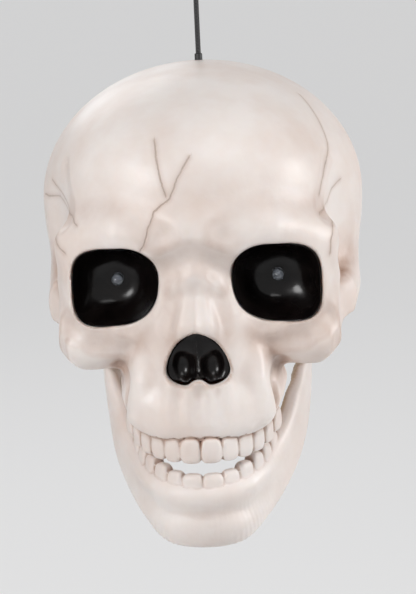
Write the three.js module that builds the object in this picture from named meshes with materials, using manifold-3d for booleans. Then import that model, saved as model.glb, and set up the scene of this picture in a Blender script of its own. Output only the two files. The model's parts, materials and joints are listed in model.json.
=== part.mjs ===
// Hanging skull with light-up eyes: two thin moulded head shells, a hinged open-backed jaw,
// black eye cups and nose insert, and a battery box behind a door in the base of the head.
// Millimetres, +Z up, the face looks along -Y. The origin is where the hanging loop bears on its hook.

import * as THREE from 'three'
import Module from 'manifold-3d'
import { mergeVertices } from 'three/addons/utils/BufferGeometryUtils.js'

const wasm = await Module()
wasm.setup()

// Head, measured from the level of the eye centres
const headWidth = 150
const headLength = 180
const crownHeight = 90
const faceDrop = 80
const faceWidth = 150
const faceLength = 90
const wall = 3
const clearance = 0.3
const overrun = 6

// Eye openings, cups and lamps
const eyeSpacing = 72.6
const eyeWidth = 39.6
const eyeHeight = 36.4
const eyeLift = 0.8
const cupWall = 1.6
const cupFloorFront = 62
const cupFloorWidth = 22
const cupSetback = 1.2
const lampDiameter = 5
const lampFlange = 5.8
const lampFlangeThickness = 1
const lampHeight = 8.6
const holderDiameter = 10
const holderDepth = 6
const leadWidth = 2.2

// Nose opening and its black insert
const noseWidth = 29.6
const noseHeight = 25
const noseDrop = 31
const noseInsertDepth = 7
const noseSetback = 3
const septumWidth = 3.2

// Teeth
const toothWidth = 8.6
const toothHeight = 12
const toothDepth = 7
const upperArchWidth = 68
const upperArchDepth = 47
const upperArchFront = 92.5
const upperBiteDrop = 78.5
const lowerArchWidth = 60
const lowerArchDepth = 42
const lowerArchFront = 88.5
const lowerBiteDrop = 84.4

// Jaw and its pivot
const jawWidth = 92
const jawFront = 92
const chinDrop = 120
const jawWall = 2.6
const pivotDrop = 33
const pivotFront = 4
const pivotInset = 3.5
const earThickness = 4.4
const earDiameter = 15
const pivotScrewDiameter = 4
const pivotHeadDiameter = 8
const pivotHeadHeight = 2.4
const pivotScrewLength = 13
const washerDiameter = 10
const washerThickness = 1

// Parting between the two head shells, and the four screws that close it
const partingBack = 8
const upperScrewInset = 23
const upperScrewRise = 44
const lowerScrewInset = 23
const lowerScrewDrop = 19
const shellScrewDiameter = 3
const shellScrewHead = 5.6
const shellScrewHeadHeight = 2
const shellScrewLength = 14
const bossDiameter = 9
const bossFloor = 4
const pivotBossDiameter = 10
const pivotBossDepth = 12

// Battery box, cells and door in the base of the rear shell
const baseDrop = 46
const padHeight = 5
const padMargin = 4
const cellDiameter = 10.5
const cellLength = 44.5
const cellCapDiameter = 3.8
const cellCapHeight = 0.8
const boxWall = 1.6
const boxHeight = 13.5
const boxBack = 27
const contactRoom = 3.6
const contactThickness = 0.6
const contactWidth = 7.6
const springDiameter = 6
const springWire = 0.8
const doorThickness = 2.2
const doorLedge = 2.5
const tongueWidth = 8
const tongueSpacing = 32
const tongueReach = 2.2
const tongueThickness = 1.4
const doorEar = 3.6
const doorScrewDiameter = 2.6
const doorScrewHead = 5
const doorScrewHeadHeight = 1.2
const doorScrewLength = 4.6
const doorScrewPlay = 1
const boxScrewDiameter = 2.2
const boxScrewHead = 4.2
const boxScrewHeadHeight = 1.4
const boxScrewLength = 4.4
const boxEar = 3

// Slide switch beside the door
const switchWidth = 6
const switchLength = 14
const switchHeight = 7
const switchOffset = 41
const switchBack = 20
const sliderWidth = 3
const sliderLength = 4
const sliderProud = 1.8
const sliderDepth = 3
const switchTravel = 3.6

// Hanging cord
const cordDiameter = 2.4
const cordStretch = 36
const cordBack = 14
const knotDiameter = 6.4
const knotHeight = 6.4
const loopWidth = 20
const loopHeight = 34
const grommetDiameter = 4.4
const grommetTopDiameter = 3.6
const grommetHeight = 3
const grommetFlange = 9
const grommetFlangeThickness = 1.2

// How many facets, rings and turns the forms are drawn with
const counts = {
  outerSkin: { around: 38, crown: 7, face: 12, mouth: 5, palate: 2 },
  innerSkin: { around: 20, crown: 4, face: 6, mouth: 3, palate: 2 },
  outlineSteps: 20,
  cupRings: 3,
  ridgeSides: 6,
  springTurns: 2.5,
  knotTurns: 3,
}

const halfWidth = headWidth / 2
const halfLength = headLength / 2
const headScale = [halfWidth, halfLength]
const faceScale = [faceWidth / 2, faceLength]

const boneColour = '#e8e0d8'
const finishes = {
  bone: new THREE.MeshStandardMaterial({ color: boneColour, roughness: 0.45, metalness: 0 }),
  gloss: new THREE.MeshStandardMaterial({ color: '#0a0606', roughness: 0.12, metalness: 0 }),
  black: new THREE.MeshStandardMaterial({ color: '#1b1b1c', roughness: 0.5, metalness: 0 }),
  clear: new THREE.MeshStandardMaterial({
    color: '#dfe6ea', roughness: 0.05, transparent: true, opacity: 0.4,
  }),
  steel: new THREE.MeshStandardMaterial({ color: '#b9bcc0', roughness: 0.3, metalness: 1 }),
  cell: new THREE.MeshStandardMaterial({ color: '#6f7276', roughness: 0.35, metalness: 0.6 }),
  cord: new THREE.MeshStandardMaterial({ color: '#28282a', roughness: 0.85, metalness: 0 }),
  wire: new THREE.MeshStandardMaterial({ color: '#2b2b2e', roughness: 0.5, metalness: 0 }),
}

// Solids: three.js geometry in, joined and cut, geometry out
function solid(geometry) {
  const bare = geometry.clone()
  bare.deleteAttribute('normal')
  bare.deleteAttribute('uv')
  const merged = mergeVertices(bare)
  const mesh = new wasm.Mesh({
    numProp: 3,
    vertProperties: new Float32Array(merged.attributes.position.array),
    triVerts: new Uint32Array(merged.index.array),
  })
  return new wasm.Manifold(mesh)
}

function geometryOf(body) {
  const mesh = body.getMesh()
  const geometry = new THREE.BufferGeometry()
  geometry.setAttribute('position', new THREE.BufferAttribute(new Float32Array(mesh.vertProperties), 3))
  geometry.setIndex(new THREE.BufferAttribute(new Uint32Array(mesh.triVerts), 1))
  geometry.computeVertexNormals()
  return geometry
}

const fuse = (...bodies) => bodies.reduce((whole, body) => whole.add(body))
const cut = (whole, ...tools) => tools.reduce((rest, tool) => rest.subtract(tool), whole)

function block(x, y, z, cx = 0, cy = 0, cz = 0) {
  return solid(new THREE.BoxGeometry(x, y, z).translate(cx, cy, cz))
}

// A rod along an axis, from one coordinate to another
function rod(axis, from, to, radius, at = [0, 0, 0], sides = 10) {
  const geometry = new THREE.CylinderGeometry(radius, radius, Math.abs(to - from), sides)
  geometry.translate(0, (from + to) / 2, 0)
  if (axis === 'x') geometry.rotateZ(-Math.PI / 2)
  if (axis === 'z') geometry.rotateX(Math.PI / 2)
  return solid(geometry.translate(...at))
}

// Fields: negative inside, positive outside, in millimetres near the surface
function ball(p, at, radii, power, low = radii[2]) {
  const d = [p[0] - at[0], p[1] - at[1], p[2] - at[2]]
  const sizes = [radii[0], radii[1], d[2] < 0 ? low : radii[2]]
  const far = Math.hypot(...d)
  const sum = d.reduce((total, value, i) => total + Math.abs(value / sizes[i]) ** power, 0)
  const reach = sum ** (1 / power)
  return reach < 1e-3 ? -Math.min(...radii) : far * (1 - 1 / reach)
}

function limb(p, from, to, fromRadius, toRadius, stretch = 1) {
  const along = [0, 1, 2].map((i) => to[i] - from[i])
  const away = [0, 1, 2].map((i) => p[i] - from[i])
  const lengthSquared = along.reduce((total, value) => total + value * value, 0)
  const dot = along.reduce((total, value, i) => total + value * away[i], 0)
  const share = Math.min(1, Math.max(0, dot / lengthSquared))
  const rest = away.map((value, i) => value - along[i] * share)
  return Math.hypot(rest[0], rest[1], rest[2] / stretch) - (fromRadius + (toRadius - fromRadius) * share)
}

function blend(a, b, width) {
  const near = Math.max(width - Math.abs(a - b), 0) / width
  return Math.min(a, b) - (near * near * width) / 4
}

const carve = (whole, tool, width) => -blend(-whole, tool, width)

// Forms of the head, as shares of half its width, half its length and, for the height,
// the crown height above the eyes or the face drop below them
const braincaseShares = { at: [0, 0.033, 0.31], radii: [0.997, 0.955, 0.68], low: 1.22, power: 2 }
const foreheadShares = { at: [0, -0.32, 0.4], radii: [0.8, 0.64, 0.52], power: 2.3 }
const baseShares = { at: [0, -0.3, -0.28], radii: [0.58, 0.56, 0.36], power: 2.4 }
const mastoidShares = [[0.76, 0.2, -0.25], [0.72, 0.26, -0.52]]
const archBackShares = [[0.9, -0.15, -0.17], [0.87, 0.1, -0.17]]

// Forms of the face, as shares of half its width, its reach forward and the same heights
const glabellaShares = { at: [0, -0.88, 0.25], radii: [0.24, 0.12, 0.13], power: 2 }
const templeShares = { at: [0.95, -0.56, 0.06], radii: [0.17, 0.24, 0.3], power: 2 }
const eyeBedShares = { at: [0.5, -0.72, 0.02], radii: [0.31, 0.17, 0.3], power: 2.4 }
const noseBedShares = { at: [0, -0.9, -0.38], radii: [0.2, 0.14, 0.2], power: 2 }
const maxillaShares = { at: [0, -0.7, -0.52], radii: [0.45, 0.32, 0.36], power: 2.5 }
const gumShares = { at: [0, -0.66, -0.75], radii: [0.45, 0.385, 0.2], power: 2.8 }
const cheekShares = { at: [0.66, -0.68, -0.33], radii: [0.23, 0.18, 0.18], power: 2.2 }
const caninePitShares = { at: [0.36, -1.05, -0.4], radii: [0.13, 0.1, 0.14], power: 2 }
const jointPocketShares = { at: [-0.225, -0.62], radii: [0.25, 0.3, 0.32], power: 7 }
const browShares = [[0.12, -0.89, 0.25], [0.44, -0.88, 0.27], [0.72, -0.7, 0.2]]
const outerRimShares = [[0.72, -0.68, 0.16], [0.755, -0.62, 0], [0.73, -0.66, -0.2]]
const lowerRimShares = [[0.73, -0.66, -0.2], [0.53, -0.79, -0.29], [0.25, -0.85, -0.19]]
const noseSideShares = [[0.16, -0.86, 0.11], [0.17, -0.9, -0.18], [0.23, -0.92, -0.4]]
const noseBoneShares = [[0.04, -0.89, 0.14], [0.06, -0.94, -0.06], [0.06, -1, -0.2]]
const spineShares = [[0, -0.98, -0.52], [0, -1.04, -0.47]]
const archFrontShares = [[0.77, -0.6, -0.26], [0.88, -0.4, -0.19]]
const archStretchShare = 2.1
const biteRiseShare = 0.3
const softShare = 0.16
const firmShare = 0.1
const crispShare = 0.06
const browShare = 0.12
const rimShare = 0.1
const boneShare = 0.085
const archShare = 0.07

const rise = (share) => (share > 0 ? crownHeight : faceDrop)
const spot = ([x, y, z], scale) => [x * scale[0], y * scale[1], z * rise(z)]
const onHead = (shares) => shares.map((share) => spot(share, headScale))
const onFace = (shares) => shares.map((share) => spot(share, faceScale))

function form(p, { at, radii, low, power }, scale) {
  const sizes = [radii[0] * scale[0], radii[1] * scale[1], radii[2] * rise(at[2])]
  return ball(p, spot(at, scale), sizes, power, low && low * faceDrop)
}

function chain(p, points, radiusShare, stretch = 1) {
  const radius = radiusShare * faceScale[0]
  let nearest = Infinity
  for (let i = 1; i < points.length; i += 1) {
    nearest = Math.min(nearest, limb(p, points[i - 1], points[i], radius, radius, stretch))
  }
  return nearest
}

// The rods that run through the forms
const rods = {
  mastoid: onHead(mastoidShares),
  brow: onFace(browShares),
  outerRim: onFace(outerRimShares),
  lowerRim: onFace(lowerRimShares),
  noseSide: onFace(noseSideShares),
  noseBone: onFace(noseBoneShares),
  spine: onFace(spineShares),
  arch: [...onFace(archFrontShares), ...onHead(archBackShares)],
}

// The bite line rises toward the back of the mouth
const biteRise = (y) => biteRiseShare * (y + upperArchFront)

function headField(x, y, z) {
  const p = [Math.abs(x), y, z]
  const soft = softShare * faceScale[0]
  const firm = firmShare * faceScale[0]
  const crisp = crispShare * faceScale[0]
  let d = form(p, braincaseShares, headScale)
  d = blend(d, form(p, foreheadShares, headScale), soft)
  d = blend(d, form(p, baseShares, headScale), soft)
  d = blend(d, chain(p, rods.mastoid, browShare), soft)
  d = carve(d, z + baseDrop, crisp)
  d = carve(d, form(p, templeShares, faceScale), soft)
  d = blend(d, form(p, glabellaShares, faceScale), soft)
  d = blend(d, chain(p, rods.brow, browShare), soft)
  d = blend(d, form(p, eyeBedShares, faceScale), firm)
  d = blend(d, form(p, maxillaShares, faceScale), firm)
  d = blend(d, form([p[0], y, z - biteRise(y)], gumShares, faceScale), firm)
  d = blend(d, form(p, cheekShares, faceScale), soft)
  d = blend(d, chain(p, rods.outerRim, rimShare), firm)
  d = blend(d, chain(p, rods.lowerRim, rimShare), firm)
  d = blend(d, chain(p, rods.noseSide, boneShare), firm)
  d = blend(d, form(p, noseBedShares, faceScale), firm)
  d = blend(d, chain(p, rods.noseBone, boneShare), crisp)
  d = blend(d, chain(p, rods.arch, archShare, archStretchShare), firm)
  d = carve(d, form(p, caninePitShares, faceScale), firm)
  return blend(d, chain(p, rods.spine, boneShare / 2), crisp)
}

// How far a ray from inside travels to the skin that lies `inset` under the sculpted surface
function skinReach(field, origin, direction, inset, farthest) {
  const step = farthest / 90
  const at = (t) => field(...origin.map((value, axis) => value + direction[axis] * t)) + inset
  let t = farthest
  while (t > step && at(t) > 0) t -= step
  let near = t
  let far = t + step
  for (let i = 0; i < 12; i += 1) {
    const middle = (near + far) / 2
    if (at(middle) > 0) far = middle
    else near = middle
  }
  return near
}

// The head is drawn as level sections through the face, closed by a fan of sections over the
// crown and another under the teeth. Each ring looks outward from its own point on the midline,
// and no ring stands in the step under the base.
const crownFanShares = { back: -0.3, up: 0.34 }
const faceSpineShare = -0.56
const jawSpineShare = -0.74
const toothFanShare = -0.8
const sectionGap = 3.2

function headRings(levels, inset) {
  const rings = []
  const ring = (y, z, tilt) => rings.push({ origin: [0, y, z], tilt: (tilt * Math.PI) / 2 })
  const back = crownFanShares.back * halfLength
  const face = faceSpineShare * faceLength
  const jaw = jawSpineShare * faceLength
  const between = (from, to, share) => from + (to - from) * share
  const top = crownFanShares.up * crownHeight
  const base = -baseDrop + inset
  const bottom = toothFanShare * faceDrop + inset
  for (let i = 0; i <= levels.crown; i += 1) ring(back, top, 1 - i / levels.crown)
  for (let i = 1; i <= levels.face; i += 1) {
    const spine = between(back, face, Math.min(1, (2 * i) / levels.face))
    ring(spine, between(top, base + sectionGap, i / levels.face), 0)
  }
  for (let i = 0; i < levels.mouth; i += 1) ring(jaw, between(base - sectionGap, bottom, i / levels.mouth), 0)
  for (let i = 0; i <= levels.palate; i += 1) ring(jaw, bottom, -i / levels.palate)
  return rings
}

function headSkin(inset, { around, ...levels }) {
  const rings = headRings(levels, inset)
  const geometry = new THREE.SphereGeometry(1, around, rings.length - 1)
  const position = geometry.attributes.position
  for (let i = 0; i < position.count; i += 1) {
    const { origin, tilt } = rings[Math.floor(i / (around + 1))]
    const turn = ((i % (around + 1)) / around) * 2 * Math.PI
    const level = Math.abs(Math.abs(tilt) - Math.PI / 2) < 1e-6 ? 0 : Math.cos(tilt)
    const direction = [-Math.sin(turn) * level, Math.cos(turn) * level, Math.sin(tilt)]
    const reach = skinReach(headField, origin, direction, inset, headLength)
    position.setXYZ(i, ...origin.map((value, axis) => value + direction[axis] * reach))
  }
  return solid(geometry)
}

// The depth of the face under a point of an outline seen from the front
function faceDepth(x, z) {
  return -skinReach(headField, [x, 0, z], [0, -1, 0], 0, headLength)
}

// Outline of an eye opening: a rounded square, leaning outward and down, about its own centre
const eyePowerShare = 2.9
const eyeLeanShare = -0.14

function eyeOutline(width, height) {
  const points = []
  for (let i = 0; i < counts.outlineSteps; i += 1) {
    const turn = (i / counts.outlineSteps) * 2 * Math.PI
    const [c, s] = [Math.cos(turn), Math.sin(turn)]
    const reach = (Math.abs(c) ** eyePowerShare + Math.abs(s) ** eyePowerShare) ** (-1 / eyePowerShare)
    const x = (c * reach * width) / 2
    const z = (s * reach * height) / 2 + x * eyeLeanShare
    points.push([x, z])
  }
  return points
}

// Outline of the nose opening: a pear with the spine standing up between its two lobes
const noseOutlineShares = [
  [0, 0.5], [0.14, 0.46], [0.3, 0.3], [0.43, 0.06], [0.5, -0.22], [0.45, -0.38],
  [0.31, -0.47], [0.17, -0.5], [0.08, -0.4], [0, -0.36],
]

function noseOutline(width, height) {
  const right = noseOutlineShares.map(([x, z]) => [x * width, z * height])
  const left = right.slice(1, -1).reverse().map(([x, z]) => [-x, z])
  return [...right, ...left]
}

// A prism with an outline seen from the front, from one depth back to another
function prism(outline, front, back) {
  const shape = new THREE.Shape(outline.map(([x, z]) => new THREE.Vector2(x, z)))
  const geometry = new THREE.ExtrudeGeometry(shape, { depth: back - front, bevelEnabled: false })
  return solid(geometry.rotateX(Math.PI / 2).translate(0, back, 0))
}

// A skin through rings of equal count, closed by a centre point at each end
function ringSkin(rings) {
  const around = rings[0].length
  const geometry = new THREE.SphereGeometry(1, around, rings.length + 1)
  const position = geometry.attributes.position
  const centre = (ring) => [0, 1, 2].map((axis) => ring.reduce((sum, p) => sum + p[axis], 0) / around)
  for (let i = 0; i < position.count; i += 1) {
    const row = Math.floor(i / (around + 1))
    const turn = i % (around + 1)
    if (row === 0) position.setXYZ(i, ...centre(rings[0]))
    else if (row > rings.length) position.setXYZ(i, ...centre(rings[rings.length - 1]))
    else position.setXYZ(i, ...rings[row - 1][turn % around])
  }
  return geometry
}

// The same skin whichever way round its rings were listed
function ringSolid(rings) {
  const body = solid(ringSkin(rings))
  return body.volume() > 0 ? body : solid(ringSkin(rings.slice().reverse()))
}

// A turned piece: radius and height pairs from the axis back to the axis, or a closed ring
function turned(profile, axis, at = [0, 0, 0], around = 10) {
  const lathe = new THREE.LatheGeometry(profile.map(([r, h]) => new THREE.Vector2(r, h)), around)
  if (axis === 'x') lathe.rotateZ(-Math.PI / 2)
  if (axis === 'z') lathe.rotateX(Math.PI / 2)
  return solid(lathe.translate(...at))
}

// A round wire, lead or cord along a curve
function swept(path, diameter, around, steps) {
  const circle = new THREE.Path().absarc(0, 0, diameter / 2, 0, 2 * Math.PI).getPoints(around / 2)
  const section = new THREE.Shape(circle)
  return solid(new THREE.ExtrudeGeometry(section, { steps, extrudePath: path, bevelEnabled: false }))
}

const mirrored = (body) => body.mirror([1, 0, 0])
const sides = [['left', -1], ['right', 1]]
const sided = (body, side) => (side < 0 ? mirrored(body) : body)

// Eye cup: a bowl whose rim follows the face just under the edge of the opening
const eyeX = eyeSpacing / 2

function cupSkin(inset, floorY, front) {
  const rings = []
  const rim = eyeOutline(eyeWidth - 2 * (clearance + inset), eyeHeight - 2 * (clearance + inset))
  const floorShare = (cupFloorWidth - 2 * inset) / (eyeWidth - 2 * inset)
  const edge = rim.map(([x, z]) => faceDepth(eyeX + x, eyeLift + z) + cupSetback - front)
  for (let i = 0; i <= counts.cupRings; i += 1) {
    const turn = (i / counts.cupRings) * (Math.PI / 2)
    const size = floorShare + (1 - floorShare) * Math.cos(turn)
    const sink = Math.sin(turn)
    const ring = rim.map(([x, z], k) => {
      const y = edge[k] + (floorY - edge[k]) * sink
      return [eyeX + x * size, y, eyeLift + z * size]
    })
    rings.push(ring)
  }
  return ringSolid(rings)
}

function eyeCup() {
  const floorY = -cupFloorFront
  const bowl = cut(cupSkin(0, floorY + cupWall, 0), cupSkin(cupWall, floorY, overrun))
  const radius = lampDiameter / 2 + clearance
  return cut(bowl, rod('y', floorY - cupWall, floorY + 2 * cupWall, radius, [eyeX, 0, eyeLift]))
}

const holderFront = -cupFloorFront + cupWall + clearance

function lamp() {
  const r = lampDiameter / 2
  const rim = lampFlange / 2
  const flange = [[0, 0], [rim, 0], [rim, -lampFlangeThickness], [r, -lampFlangeThickness]]
  const dome = [0, 0.33, 0.67, 1].map((share) => {
    const turn = (share * Math.PI) / 2
    return [r * Math.cos(turn), -(lampHeight - r) - r * Math.sin(turn)]
  })
  dome[dome.length - 1][0] = 0
  return turned([...flange, ...dome].reverse(), 'y', [eyeX, holderFront + lampFlangeThickness, eyeLift])
}

// Collar behind the cup: it carries the lamp's flange and grips the lead
function lampHolder() {
  const inner = lampFlange / 2 + clearance
  const seat = lampFlangeThickness + clearance
  const back = leadWidth / 2 + clearance
  const outer = holderDiameter / 2
  const cavity = [[back, holderDepth], [back, seat], [inner, seat]]
  const profile = [[inner, 0], [outer, 0], [outer, holderDepth], ...cavity, [inner, 0]]
  return turned(profile, 'y', [eyeX, holderFront, eyeLift])
}

// Nose insert: a plug behind the opening, dished into two nostrils with the septum left between
const nostrilShares = { z: -0.16, radii: [0.17, 0.22], depth: 0.55 }
const plugFaceShares = { size: 0.6, sink: 0.33 }

const plugOutline = noseOutline(noseWidth - 2 * clearance, noseHeight - 2 * clearance)
const plugEdge = plugOutline.map(([x, z]) => faceDepth(x, z - noseDrop) + noseSetback)
const plugBack = Math.max(...plugEdge) + noseInsertDepth

function noseInsert() {
  const [outline, edge, back] = [plugOutline, plugEdge, plugBack]
  const ringAt = (size, depth) => outline.map(([x, z], k) => [x * size, depth(k), z * size - noseDrop])
  const skin = ringSolid([
    ringAt(plugFaceShares.size, (k) => edge[k] + noseSetback * plugFaceShares.sink),
    ringAt(1, (k) => edge[k]),
    ringAt(1, () => back),
  ])
  const { z, radii, depth } = nostrilShares
  const nostrils = [-1, 1].map((side) => {
    const bowl = new THREE.SphereGeometry(1, 8, 6)
    bowl.scale(radii[0] * noseWidth, depth * noseInsertDepth + overrun, radii[1] * noseHeight)
    const across = side * (septumWidth / 2 + radii[0] * noseWidth)
    const front = back - noseInsertDepth - overrun + clearance
    return solid(bowl.translate(across, front, z * noseHeight - noseDrop))
  })
  return cut(skin, ...nostrils)
}

// Teeth, set side by side along a half ellipse
const toothWidthShares = [1, 0.9, 0.9, 0.85, 0.85, 1.05]
const toothPowerShare = 3
const toothShares = { width: 0.52, depth: 0.5, height: 0.5 }
const archStepShare = 0.01
const archRows = {
  upper: {
    width: upperArchWidth, depth: upperArchDepth, front: upperArchFront, bite: -upperBiteDrop, rise: 1,
  },
  lower: {
    width: lowerArchWidth, depth: lowerArchDepth, front: lowerArchFront, bite: -lowerBiteDrop, rise: -1,
  },
}

function archPoint(row, turn) {
  return [(row.width / 2) * Math.sin(turn), -row.front + row.depth * (1 - Math.cos(turn))]
}

// Walks along the arch until the given length from the midline is used up
function archTurn(row, length) {
  let turn = 0
  let gone = 0
  while (gone < length && turn < Math.PI) {
    const [a, b] = [archPoint(row, turn), archPoint(row, turn + archStepShare)]
    gone += Math.hypot(b[0] - a[0], b[1] - a[1])
    turn += archStepShare
  }
  return turn
}

function tooth(row, width, middle) {
  const turn = archTurn(row, middle)
  const [x, y] = archPoint(row, turn)
  const [ahead, behind] = [archPoint(row, turn + archStepShare), archPoint(row, turn - archStepShare)]
  const facing = Math.atan2(ahead[1] - behind[1], ahead[0] - behind[0])
  const geometry = new THREE.SphereGeometry(1, 8, 4)
  const position = geometry.attributes.position
  for (let i = 0; i < position.count; i += 1) {
    const p = [position.getX(i), position.getZ(i), position.getY(i)]
    const sum = p.reduce((total, value) => total + Math.abs(value) ** toothPowerShare, 0)
    const [across, through, along] = p.map((value) => value * sum ** (-1 / toothPowerShare))
    position.setXYZ(
      i,
      across * width * toothShares.width,
      through * toothDepth * toothShares.depth,
      along * toothHeight * toothShares.height,
    )
  }
  geometry.index.array.reverse()
  geometry.rotateZ(facing)
  return solid(geometry.translate(x, y, row.bite + biteRise(y) + (row.rise * toothHeight) / 2))
}

function toothRow(row) {
  let middle = 0
  const teeth = []
  for (const share of toothWidthShares) {
    const width = share * toothWidth
    const one = tooth(row, width, middle + width / 2)
    teeth.push(one, mirrored(one))
    middle += width
  }
  return fuse(...teeth)
}

// Jaw: sections carried from the chin back along the body and up each ramus to the pivot ear.
// Each row holds x, y and z of the section's middle, half its thickness and half its height,
// then in quarter turns how far it faces sideways and how far its top leans forward.
const jawShares = [
  [0, -0.9, -0.868, 0.16, 0.133, 0, -0.09],
  [0.25, -0.878, -0.862, 0.16, 0.13, 0.28, -0.06],
  [0.46, -0.775, -0.825, 0.145, 0.11, 0.56, 0],
  [0.655, -0.625, -0.76, 0.135, 0.105, 0.74, 0.06],
  [0.81, -0.455, -0.675, 0.125, 0.116, 0.88, 0.28],
  [0.9, -0.3, -0.575, 0.12, 0.135, 0.97, 0.64],
  [0.965, -0.21, -0.46, 0.09, 0.135, 1, 0.87],
  [1.005, -0.185, -0.365, 0.05, 0.13, 1, 0.94],
  [1.008, -0.15, -0.32, 0.046, 0.105, 1, 0.97],
  [1.008, -0.09, -0.285, 0.042, 0.06, 1, 1],
]
const jawPowerShare = 2.6

function jawStation(share) {
  const place = Math.abs(share) * (jawShares.length - 1)
  const row = Math.min(Math.floor(place), jawShares.length - 2)
  const t = place - row
  const pick = (i) => {
    const mirror = i < 0 ? jawShares[-i].map((value, k) => (k === 0 || k === 5 ? -value : value)) : null
    return mirror ?? jawShares[Math.min(i, jawShares.length - 1)]
  }
  const [a, b, c, d] = [-1, 0, 1, 2].map((step) => pick(row + step))
  const value = b.map((_, k) => {
    const slopes = [(c[k] - a[k]) / 2, (d[k] - b[k]) / 2]
    return (2 * t ** 3 - 3 * t ** 2 + 1) * b[k] + (t ** 3 - 2 * t ** 2 + t) * slopes[0]
      + (3 * t ** 2 - 2 * t ** 3) * c[k] + (t ** 3 - t ** 2) * slopes[1]
  })
  const side = share < 0 ? -1 : 1
  const [turn, lean] = [(value[5] * Math.PI) / 2, (value[6] * Math.PI) / 2]
  return {
    at: [(side * value[0] * jawWidth) / 2, value[1] * jawFront, value[2] * chinDrop],
    out: [side * Math.sin(turn), -Math.cos(turn), 0],
    up: [0, -Math.sin(lean), Math.cos(lean)],
    thick: (value[3] * jawWidth) / 2,
    high: value[4] * chinDrop,
  }
}

function jawSkin(from, steps, around, inset) {
  const rings = []
  for (let i = 0; i <= steps; i += 1) {
    const { at, out, up, thick, high } = jawStation(from * (1 - (2 * i) / steps))
    const ring = []
    for (let k = 0; k < around; k += 1) {
      const turn = (k / around) * 2 * Math.PI
      const [c, s] = [Math.cos(turn), Math.sin(turn)]
      const reach = (Math.abs(c) ** jawPowerShare + Math.abs(s) ** jawPowerShare) ** (-1 / jawPowerShare)
      const across = c * reach * thick - inset
      const along = s * reach * (high - inset)
      ring.push([0, 1, 2].map((axis) => at[axis] + out[axis] * across + up[axis] * along))
    }
    rings.push(ring)
  }
  return ringSolid(rings)
}

// A block with rounded faces and corners
function pillow(at, radii, power, around, rows) {
  const geometry = new THREE.SphereGeometry(1, around, rows)
  const position = geometry.attributes.position
  for (let i = 0; i < position.count; i += 1) {
    const p = [position.getX(i), position.getY(i), position.getZ(i)]
    const reach = p.reduce((total, value) => total + Math.abs(value) ** power, 0) ** (-1 / power)
    position.setXYZ(i, ...p.map((value, axis) => at[axis] + value * reach * radii[axis]))
  }
  return solid(geometry)
}

// The pocket that the ramus turns in, on the right side
const pivotWall = jawWidth / 2 - pivotInset

function jointPocket(grown) {
  const { at, radii, power } = jointPocketShares
  const sizes = [radii[0] * halfWidth, radii[1] * faceLength, radii[2] * faceDrop]
  const middle = [pivotWall + clearance + sizes[0], at[0] * faceLength, at[1] * faceDrop]
  return pillow(middle, sizes.map((size) => size + grown), power, 8, 8)
}

function pocketed(skin, grown) {
  const pocket = jointPocket(grown)
  return cut(skin, pocket, mirrored(pocket))
}

// Head shells
const hollowed = {
  outer: pocketed(headSkin(0, counts.outerSkin), 0),
  inner: pocketed(headSkin(wall, counts.innerSkin), wall),
}
const headShell = cut(hollowed.outer, hollowed.inner)
const eyeHole = prism(
  eyeOutline(eyeWidth, eyeHeight).map(([x, z]) => [x + eyeX, z + eyeLift]),
  -headLength,
  -cupFloorFront + cupWall,
)
const noseHole = prism(
  noseOutline(noseWidth, noseHeight).map(([x, z]) => [x, z - noseDrop]),
  -headLength,
  plugBack + clearance,
)
const screwPlaces = [
  ['upper', halfWidth - upperScrewInset, upperScrewRise],
  ['lower', halfWidth - lowerScrewInset, -lowerScrewDrop],
]
const rearFront = partingBack + clearance
const screwSeat = rearFront + bossFloor
const pivotAt = [0, -pivotFront, -pivotDrop]
const earInner = pivotWall + washerThickness + 2 * clearance

function faceShell() {
  const front = block(headWidth * 2, headLength, headLength * 2, 0, partingBack - headLength / 2)
  let shell = fuse(headShell.intersect(front), toothRow(archRows.upper))
  shell = cut(shell, eyeHole, mirrored(eyeHole), noseHole)
  for (const [, x, z] of screwPlaces) {
    const stem = rod('y', -bossDiameter, partingBack, bossDiameter / 2, [x, 0, z], 8)
    const webMiddle = (halfWidth + x) / 2
    const web = block(halfWidth - x, bossDiameter, wall, webMiddle, partingBack - bossDiameter / 2, z)
    const boss = fuse(stem, web).intersect(hollowed.outer)
    const boreRadius = shellScrewDiameter / 2 + clearance
    const bore = rod('y', -bossDiameter + wall, partingBack + overrun, boreRadius, [x, 0, z], 8)
    shell = cut(fuse(shell, boss, mirrored(boss)), bore, mirrored(bore))
  }
  const seat = rod('x', pivotWall - wall, pivotWall, earDiameter / 2 + clearance, pivotAt, 16)
  const boss = rod('x', pivotWall - pivotBossDepth, pivotWall, pivotBossDiameter / 2, pivotAt)
  const spotFace = rod('x', pivotWall, headWidth, earDiameter / 2 + 2 * clearance, pivotAt, 16)
  const boreRadius = pivotScrewDiameter / 2 + clearance
  const bore = rod('x', pivotWall - pivotBossDepth + wall, headWidth, boreRadius, pivotAt, 8)
  for (const [, side] of sides) {
    shell = cut(fuse(shell, sided(seat, side), sided(boss, side)), sided(spotFace, side), sided(bore, side))
  }
  return shell
}

// Battery box, open below, over a pad in the base of the rear shell
const boxInner = [cellLength + 2 * contactRoom, 2 * cellDiameter + 3 * clearance]
const boxOuter = boxInner.map((size) => size + 2 * boxWall)
const door = boxInner.map((size) => size + 2 * doorLedge)
const padTop = -baseDrop + padHeight
const boxFloor = padTop + clearance
const boxTop = boxFloor + boxHeight
const doorFront = boxBack - door[1] / 2
const doorRear = boxBack + door[1] / 2
const doorScrewAt = [0, doorRear + doorEar - clearance, 0]
const boxScrewX = boxOuter[0] / 2 + boxEar
const cellRise = boxTop - boxWall - clearance - cellDiameter / 2

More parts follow.
